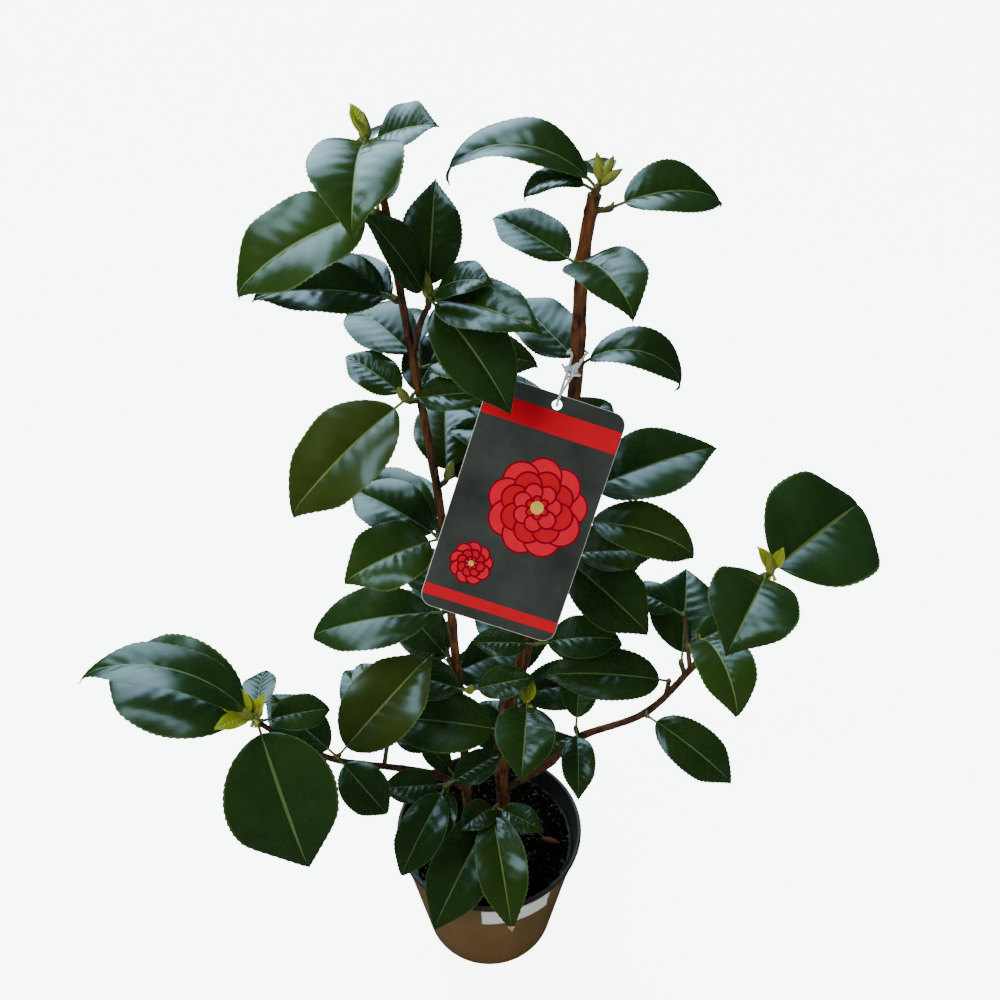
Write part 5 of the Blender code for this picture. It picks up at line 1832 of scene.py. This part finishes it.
@dataclass
class Foliage:
    """Every spray: its twig, the leaves and buds that find room on it, and their finer parts."""

    space: Space
    limbs: Limbs
    blade: BladeShape = BladeShape()
    young_sunk: float = 5.0
    placed: dict[str, list[PlacedLeaf]] = field(default_factory=dict)
    budded: dict[str, list[tuple[Vector, Bud]]] = field(default_factory=dict)
    twigs: dict[str, tuple[Vector, Vector, Vector]] = field(default_factory=dict)

    def nearest_share(self, path: Route, point: Vector) -> float:
        """The share of the path's length at which it passes nearest to a point."""
        shares = [i / PATH_STEPS for i in range(PATH_STEPS + 1)]
        return min(shares, key=lambda share: (point_along(path, share)[0] - point).length)

    def root_of(self, limb: str, at: Joint, tip: Sequence) -> tuple[Vector, Vector]:
        """Where a spray's stem leaves its limb.

        Args:
            limb: the limb's name.
            at: whether it leaves the limb's end or its side.
            tip: where the stem ends.

        Returns:
            The point of the limb's middle line, and the point where the plain stem starts.
        """
        path = self.limbs.grown[limb].path
        if at is Joint.END:
            point, run = point_along(path, 1.0)
            bend = sin(run.angle(Vector(tip) - point))
            reach = CLEARANCE + (TWIG_RADIUS + self.limbs.grown[limb].tip_radius) * bend
            return point, point + run * reach
        share = self.nearest_share(path, Vector(tip))
        reach = (point_along(path, share)[0] - Vector(tip)).length
        length = sum((b - a).length for a, b in zip(path, path[1:]))
        share = max(share - FORWARD_LEAN * reach / length, 0.0)
        point, run = point_along(path, share)
        return point, start_beside(point, run, self.limbs.radius_at(limb, share), tip, TWIG_RADIUS)

    @staticmethod
    def spiral_leaves(filler: Filler) -> list[Leaf]:
        """The leaves of a spray at the back, by the seeded spiral rule."""
        chance = random.Random(filler.seed)
        leaves = []
        for i in range(filler.count):
            share = i / max(filler.count - 1, 1)
            along = SPIRAL_ALONG[0] + (SPIRAL_ALONG[1] - SPIRAL_ALONG[0]) * share
            turn = (i * SPIRAL_TURN) % SPIRAL_FAN - SPIRAL_FAN / 2
            bearing = filler.bearing + turn + chance.uniform(-SPIRAL_STRAY, SPIRAL_STRAY)
            rise = chance.uniform(*SPIRAL_RISE)
            length = filler.length * chance.uniform(*SPIRAL_LENGTHS)
            leaves.append(Leaf(along, bearing, rise, length, chance.uniform(*SPIRAL_DROOP)))
        return leaves

    def place_leaf(self, name: str, root: Vector, leaf: Leaf, own: Space) -> Leaf | None:
        """The leaf, nudged until it is clear of all that is placed, or None where it never is."""
        for turn, lift in nudges():
            tried = replace(leaf, bearing=leaf.bearing + turn, rise=leaf.rise + lift)
            test = leaf_solid(root, tried, LEAF_MARGIN, petiole=False)
            if self.space.is_free(*test, but=(name,)) and own.is_free(*test):
                if self.space.is_free(*leaf_solid(root, tried, LEAF_MARGIN), but=(name,)):
                    own.add(name, *test)
                    return tried
        return None

    def grow(self) -> None:
        """Places every spray's stem, then its leaves and buds."""
        jobs = []
        for name, spray in SPRAYS.items():
            jobs.append((name, spray, spray.leaves, spray.buds))
        for name, filler in FILLERS.items():
            jobs.append((name, filler, self.spiral_leaves(filler), ()))
        for name, spray, _, _ in jobs:
            axis, root = self.root_of(spray.limb, spray.at, spray.tip)
            tip = Vector(spray.tip)
            self.twigs[name] = (axis, root, tip)
            self.space.add(name, *tube([root, tip], [TWIG_RADIUS + 0.3] * 2, TWIG_SIDES))
        for name, _, leaves, buds in jobs:
            self.grow_spray(name, leaves, buds)

    def grow_spray(self, name: str, leaves: Sequence[Leaf], buds: Sequence[Bud]) -> None:
        """Places one spray's leaves and buds and takes their room.

        Args:
            name: the spray's name.
            leaves: its leaves.
            buds: its buds.
        """
        _, root, tip = self.twigs[name]
        path = [root, root.lerp(tip, 0.5), tip]
        solids = [tube(path, [TWIG_RADIUS, (TWIG_RADIUS + TWIG_TIP_RADIUS) / 2, TWIG_TIP_RADIUS], TWIG_SIDES)]
        own = Space()
        self.placed[name], self.budded[name] = [], []
        for leaf in leaves:
            start = root.lerp(tip, leaf.along)
            found = self.place_leaf(name, start, leaf, own)
            if found:
                self.placed[name].append(PlacedLeaf(start, found))
                solids.append(leaf_solid(start, found))
            else:
                log.info("%s: no room for the leaf at bearing %d", name, leaf.bearing)
        for bud in buds:
            start = root.lerp(tip, bud.along * BUD_SEAT)
            solid = bud_solid(start, bud)
            if self.space.is_free(*solid, but=(name,)):
                self.budded[name].append((start, bud))
                solids.append(solid)
        for verts, faces in solids:
            self.space.add(name, verts, faces)

    def build(self) -> None:
        """Makes the leaves of each spray, and every twig, stalk and bud."""
        tints = list(Tint)
        finishes = [finish for tint in tints for finish in leaf_finishes(tint)]
        for number, (name, leaves) in enumerate(self.placed.items()):
            shape = Gathered()
            dealt = TINTS.get(name, (Tint.DEEP,))
            for i, found in enumerate(leaves):
                chance = random.Random(SEED_STEP * number + i)
                base, dry = 4 * tints.index(dealt[i % len(dealt)]), DRY_TIPS.get((name, i), 1.0)
                self.add_leaf(shape, found, chance, (base, 4 * tints.index(Tint.DRY), dry))
            for i, young in enumerate(SHOOTS.get(name, ())):
                _, root, tip = self.twigs[name]
                run, _ = leaf_axes(young)
                found = PlacedLeaf(root.lerp(tip, young.along) - run * self.young_sunk, young)
                base = 4 * tints.index(Tint.YOUNG)
                chance = random.Random(SEED_STEP * number + SHOOT_SEED + i)
                self.add_leaf(shape, found, chance, (base, base, 1.0))
            mesh = shape.mesh("leaves_" + name)
            sharpen_seams(mesh)
            put("leaves_" + name, mesh, finishes, (name,))
        self.build_twigs()
        self.build_buds()

    def add_leaf(self, shape: Gathered, found: PlacedLeaf, chance: random.Random,
                 look: tuple[int, int, float]) -> None:
        """Adds a leaf with its stalk.

        Args:
            shape: what it is added to.
            found: the leaf and where its stalk leaves the twig.
            chance: the source of its small differences.
            look: the first finish of its green, that of a dry tip, and where the dry tip starts.
        """
        green, dry, dry_from = look
        solid, parts, uvs = self.blade.solid(found.root, found.leaf, chance)
        start = len(shape.faces)
        shape.add(solid, 0, uvs)
        for k, part in enumerate(parts):
            share = k / (4 * (len(self.blade.columns) - 1) * self.blade.along)
            shape.kinds[start + k] = (dry if dry_from < share < 1.0 else green) + part
        self.stalk(shape, found, green + 2)

    @staticmethod
    def stalk(shape: Gathered, found: PlacedLeaf, kind: int) -> None:
        """Adds a leaf's stalk, a little thicker at both ends."""
        run, _ = leaf_axes(found.leaf)
        path = [found.root + run * (PETIOLE * share) for share, _ in STALK]
        shape.add(tube(path, [radius for _, radius in STALK], STALK_SIDES), kind)

    def build_twigs(self) -> None:
        """Every twig, from the middle of its limb to its tip, with a knuckle at each leaf."""
        lines = []
        for name, (axis, root, tip) in self.twigs.items():
            ahead = (tip - root).normalized()
            sag = root.lerp(tip, 0.5) + Vector((0, 0, -0.4))
            path = smooth_path([axis, root, sag, tip, tip + ahead * TWIG_BEYOND], 8)
            count = len(path)
            knots = [found.root for found in self.placed[name]]
            radii = []
            for i, p in enumerate(path):
                share = i / (count - 1)
                radius = TWIG_FOOT + (TWIG_TIP_RADIUS - TWIG_FOOT) * share
                swell = max((exp(-((p - knot).length / KNUCKLE_REACH) ** 2) for knot in knots), default=0.0)
                radii.append(radius * (1 + KNUCKLE_SWELLING * swell) * (0.7 if i == count - 1 else 1.0))
            lines.append((path, radii))
        TWIG_COAT.cover("twigs", stem_tree(), lines)

    def build_buds(self) -> None:
        """The flower and shoot buds, and a small bud where each leaf joins its twig."""
        pattern = run_tree(bud_tree(), bud_scale(), "bud_pattern", {
            "Count": 9, "Lift": 0.06, "Smallest": 0.55, "Finish": BUD_GREEN.material()})
        unit = plain_solid(pattern, 1.0)
        shape = Gathered()
        for root, bud in (pair for buds in self.budded.values() for pair in buds):
            way = heading(bud.bearing, bud.rise)
            self.set_bud(shape, unit, root, way, BUD_LENGTH, BUD_RADIUS * BUD_FULLNESS)
        for found in (leaf for leaves in self.placed.values() for leaf in leaves):
            run, side = leaf_axes(found.leaf)
            way = (run + side.cross(run) * LEAF_BUD_LEAN).normalized()
            self.set_bud(shape, unit, found.root + way * 0.6, way, LEAF_BUD_LENGTH, 1.0)
        put("buds", shape.mesh("buds"), (BUD_GREEN,))

    @staticmethod
    def set_bud(shape: Gathered, unit: Solid, root: Vector, way: Vector, length: float,
                radius: float) -> None:
        """Adds one bud.

        Args:
            shape: what it is added to.
            unit: the unit bud's points and faces.
            root: where it stands.
            way: where it points.
            length: its length.
            radius: its largest radius.
        """
        turn = way.to_track_quat("Z", "Y").to_matrix()
        verts = [root + turn @ Vector((v.x * radius, v.y * radius, v.z * length)) for v in unit[0]]
        shape.add((verts, unit[1]))


def bud_scale() -> Mesh:
    """One closed scale that wraps a third of a bud of unit length and radius."""
    across, along = 4, 5
    grid = []
    for depth in (SCALE_DEPTH, 0.0):
        for j in range(along + 1):
            t = j / along
            z = SCALE_HEIGHT * t
            body = sin(pi * (0.12 + 0.88 * t) ** 0.75) * 0.92 + 0.06
            spread_angle = SCALE_SPREAD * (1 - t ** 2.2) + SCALE_TIP
            for i in range(across + 1):
                turn = spread_angle * (2 * i / across - 1)
                edge = abs(2 * i / across - 1)
                radius = max(body * (1.0 - 0.05 * edge) + depth, 0.02)
                grid.append(polar(radius, turn, z - 0.1 * edge * edge * t))
    mesh = solid_mesh("bud_scale", (grid, slab_faces(across, along)))
    mesh.transform(Matrix.Scale(1 / MM, 4))
    return mesh


def sharpen_seams(mesh: Mesh) -> None:
    """Keeps a crisp edge where the upper side of a leaf meets its underside."""
    shape = bmesh.new()
    shape.from_mesh(mesh)
    for edge in shape.edges:
        if len(edge.link_faces) == 2:
            a, b = (face.material_index % 4 for face in edge.link_faces)
            if (a == 1) != (b == 1):
                edge.smooth = False
    shape.to_mesh(mesh)
    shape.free()


# ---- label and string

# each band's name, lower and upper edge; each rosette's name, middle, radius and rings of petals
CARD_BANDS = (("label_band_top", 43.0, 55.0), ("label_band_foot", -58.0, -52.0))
CARD_ROSETTES = (("label_rosette_large", (7.0, 4.0), 27.0, 4),
                 ("label_rosette_small", (-17.0, -35.0), 12.0, 3))


@dataclass(frozen=True)
class LabelCard:
    """The hanging picture label: a rounded card with a hole, a printed front and a plain back."""

    width: float = 75.0
    length: float = 128.0
    thickness: float = 0.8
    corner: float = 7.0
    hole_radius: float = 2.6
    hole_inset: float = 5.5
    hole: Triple = (38.0, -17.0, 478.0)
    lean: float = 27.0
    turn: float = -18.0
    print_margin: float = 0.6
    print_depth: float = 0.05
    ring_rise: float = 0.19
    petal_rise: float = 0.02
    petal_place: float = 0.62
    petal_size: float = 0.38
    petal_border: float = 0.9
    heart_size: float = 0.13

    def axes(self) -> tuple[Vector, Vector, Vector]:
        """The card's right, up and front directions as it hangs."""
        up = Vector((0.0, sin(radians(self.lean)), cos(radians(self.lean))))
        right = Vector((1.0, 0.0, 0.0))
        front = right.cross(up)
        turn = Matrix.Rotation(radians(self.turn), 3, front)
        return turn @ right, turn @ up, front

    def centre(self) -> Vector:
        """The middle of the card."""
        return Vector(self.hole) - self.axes()[1] * (self.length / 2 - self.hole_inset)

    def outline(self, steps: int = 3, inset: float = 0.0) -> list[Pair]:
        """The card's outline round its middle, anticlockwise, with rounded corners."""
        half_wide, half_long = self.width / 2 - self.corner, self.length / 2 - self.corner
        corners = ((half_wide, half_long), (-half_wide, half_long),
                   (-half_wide, -half_long), (half_wide, -half_long))
        outline = []
        for i, (x, y) in enumerate(corners):
            for k in range(steps + 1):
                turn = pi / 2 * (i + k / steps)
                radius = self.corner - inset
                outline.append((x + radius * cos(turn), y + radius * sin(turn)))
        return outline

    def plate(self, steps: int, offsets: Sequence[Pair]) -> Solid:
        """A plate with its hole, from loops at given heights and insets.

        Args:
            steps: the points of each corner.
            offsets: the height and the inset of each loop from front to back.

        Returns:
            Its points and faces.
        """
        hole_y = self.length / 2 - self.hole_inset
        verts: list[Vector] = []
        for height, inset in offsets:
            outline = self.outline(steps, inset)
            count = len(outline)
            verts += [self.at(x, y, height) for x, y in outline]
            for k in range(count):
                turn = tau * (k + 0.5) / count
                radius = self.hole_radius + inset
                verts.append(self.at(radius * cos(turn), hole_y + radius * sin(turn), height))
        count = 4 * (steps + 1)
        faces: Faces = []
        last = (len(offsets) - 1) * 2 * count
        for k in range(count):
            n = (k + 1) % count
            faces.append((k, n, count + n, count + k))
            faces.append((k + last, count + k + last, count + n + last, n + last))
            for j in range(len(offsets) - 1):
                a, b = j * 2 * count, (j + 1) * 2 * count
                faces.append((k + a, k + b, n + b, n + a))
                faces.append((count + k + a, count + n + a, count + n + b, count + k + b))
        return verts, faces

    def at(self, x: float, y: float, height: float) -> Vector:
        """A point of the card by its place across, up and out of its middle plane."""
        right, up, front = self.axes()
        return self.centre() + right * x + up * y + front * height

    def solid(self) -> Solid:
        """The plain card that claims the label's room."""
        return self.plate(3, ((self.thickness / 2, 0.0), (-self.thickness / 2, 0.0)))

    def build(self) -> None:
        """Makes the card and its print: bands and two rosettes."""
        half = self.thickness / 2
        verts, faces = self.plate(9, ((half, 0.25), (half - 0.2, 0.0), (0.1 - half, 0.0), (-half, 0.2)))
        front, centre = self.axes()[2], self.centre()
        kinds = [0 if min((verts[k] - centre).dot(front) for k in face) > half - 0.1 else 1 for face in faces]
        card = solid_mesh("label_card", (verts, faces), kinds)
        card.shade_flat()
        put("label_card", card, (CARD_INK, CARD_BACK), ("label",))
        for name, low, high in CARD_BANDS:
            self.band(name, low, high)
        for name, middle, radius, rings in CARD_ROSETTES:
            self.rosette(name, middle, radius, rings)

    def band(self, name: str, low: float, high: float) -> None:
        """A printed band across the card.

        Args:
            name: the piece's name.
            low: its lower edge, from the card's middle.
            high: its upper edge.
        """
        wide = self.width / 2 - self.print_margin
        lift = self.thickness / 2
        grid = []
        for height in (lift + self.print_depth, lift - 0.02):
            for y in (low, high):
                grid += [self.at(-wide + 2 * wide * i / 12, y, height) for i in range(13)]
        mesh = solid_mesh(name, (grid, slab_faces(12, 1)))
        mesh.shade_flat()
        put(name, mesh, (CARD_RED,))

    def rosette(self, name: str, middle: Pair, radius: float, rings: int) -> None:
        """A printed rosette of round petals with a plain heart.

        Args:
            name: the piece's name.
            middle: its place on the card.
            radius: its radius.
            rings: how many rings of petals it has.
        """
        shape = Gathered()
        lift = self.thickness / 2 + 0.04
        for ring in range(rings):
            share = 1 - ring / rings
            petals = 9 - ring
            for i in range(petals):
                turn = tau * (i + 0.5 * (ring % 2)) / petals + 0.3
                height = lift + self.ring_rise * ring + self.petal_rise * i
                self.petal(shape, middle, turn, radius * share, height, ring % 2)
        top = lift + self.ring_rise * rings + self.print_depth
        self.petal_disc(shape, middle, radius * self.heart_size, top, 3)
        mesh = shape.mesh(name)
        mesh.shade_flat()
        put(name, mesh, (CARD_PETAL, CARD_RED, CARD_SHADE, CARD_GOLD))

    def petal(self, shape: Gathered, middle: Pair, turn: float, reach: float, height: float,
              kind: int) -> None:
        """Adds one round petal on its darker outline.

        Args:
            shape: what it is added to.
            middle: the rosette's middle.
            turn: the petal's turn round it.
            reach: the radius of the petal's ring.
            height: how far its outline stands out.
            kind: its material number.
        """
        away = self.petal_place * reach
        place = (middle[0] + away * cos(turn), middle[1] + away * sin(turn))
        self.petal_disc(shape, place, reach * self.petal_size, height, 2)
        self.petal_disc(shape, place, reach * self.petal_size - self.petal_border, height + 0.01, kind)

    def petal_disc(self, shape: Gathered, middle: Pair, radius: float, height: float,
                   kind: int) -> None:
        """Adds a thin flat disc, from inside the card to a height above its middle plane."""
        path = [self.at(*middle, 0.1), self.at(*middle, height)]
        shape.add(tube(path, [radius, radius], 28), kind)


@dataclass(frozen=True)
class LabelString:
    """The twisted string that ties the label to the main stem, with its knot."""

    card: LabelCard
    limbs: Limbs
    radius: float = 0.7
    height: float = 496.0
    slack: float = 1.2
    bulge: float = 3.2
    back_bulge: float = 3.4
    standoff: float = 2.6
    stem_turns: tuple[float, ...] = (-50, 0, 50, 90, 130, 180, 230)
    knot_loops: int = 4
    knot_reach: float = 6.0
    knot_place: float = 0.72
    frayed_ends: tuple[Pair, ...] = ((-5.5, 5.0), (4.0, 7.5))

    def path(self, per_span: int) -> list[Vector]:
        """The string's closed path through the hole and round the stem."""
        _, up, front = self.card.axes()
        hole = Vector(self.card.hole)
        inset = self.card.hole_inset
        stem = self.limbs.grown["main_stem"]
        middle = nearest_on(stem.path, self.height)
        reach = stem.tip_radius + self.radius + self.slack
        route = [hole, hole + front * self.bulge, hole + front * self.standoff + up * inset]
        route += [middle + polar(reach, radians(turn), 0.0) for turn in self.stem_turns]
        route += [hole - front * self.back_bulge + up * inset, hole - front * self.standoff]
        return smooth_path(route, per_span, closed=True)

    def solid(self) -> Solid:
        """The plain string that claims its room."""
        path = self.path(2)
        return tube(path, [self.radius] * len(path), 6, closed=True)

    def build(self) -> None:
        """Twists the string and ties its knot."""
        line = line_mesh([(self.path(10), ())], closed=True)
        twine = self.twisted("label_string_twine", line, 1.05, 420, 44.0)
        twine.shade_smooth()
        put("label_string_twine", twine, (COTTON,), ("label_string",))
        self.tie_knot()

    def twisted(self, name: str, line: Mesh, thick: float, points: int, turns: float) -> Mesh:
        """Three strands twisted round a line, with their thickness as a share of the string's."""
        return run_tree(twine_tree(), line, name, {
            "Radius": self.radius * thick * MM, "Points": points, "Turns": turns,
            "Finish": COTTON.material()})

    def tie_knot(self) -> None:
        """Ties the knot in front of the stem: crossed loops and two frayed ends that stand off."""
        stem = self.limbs.grown["main_stem"]
        middle = nearest_on(stem.path, self.height)
        before_stem = middle - Vector((0.0, stem.tip_radius + 3.0, 0.0))
        knot = Vector(self.card.hole).lerp(before_stem, self.knot_place)
        lines = []
        for i in range(self.knot_loops):
            turn = Matrix.Rotation(tau * i / self.knot_loops + 0.5, 3, "Y") @ Matrix.Rotation(0.5 * i, 3, "X")
            wide = self.knot_reach * (0.5 + 0.12 * i)
            loop = [Vector((wide * cos(t), 0.9 * sin(2 * t), 0.42 * wide * sin(t)))
                    for t in (tau * k / 10 for k in range(11))]
            lines.append(smooth_path([knot + turn @ p for p in loop], 6))
        for across, up in self.frayed_ends:
            lines.append(smooth_path([knot, knot + Vector((0.3 * across, -2.0, 0.5 * up)),
                                      knot + Vector((0.8 * across, -2.6, 0.7 * up)),
                                      knot + Vector((across, -1.2, up))], 8))
        shape = Gathered()
        for i, bend in enumerate(lines):
            tied = self.twisted(f"string_knot_{i}", line_mesh([(bend, ())]), 0.9, 90, 6.0)
            shape.add(plain_solid(tied, MM))
        put("string_knot", shape.mesh("string_knot"), (COTTON,))


def main() -> None:
    """Builds the studio, pot, compost, limbs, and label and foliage."""
    logging.basicConfig(level=logging.INFO, format="%(name)s %(message)s")
    for group in (speckle_group, relief_group, dust_group):
        group()
    Studio().build()
    space = Space()
    pot = Pot()
    compost = Compost(pot)
    limbs = Limbs(space)
    card = LabelCard()
    string = LabelString(card, limbs)
    space.add("pot", *pot.solid())
    space.add("compost", *compost.solid())
    limbs.grow()
    space.add("label", *card.solid())
    space.add("label_string", *string.solid())
    foliage = Foliage(space, limbs)
    foliage.grow()
    for piece in (pot, compost, limbs, card, string, foliage):
        piece.build()


if __name__ == "__main__":
    main()
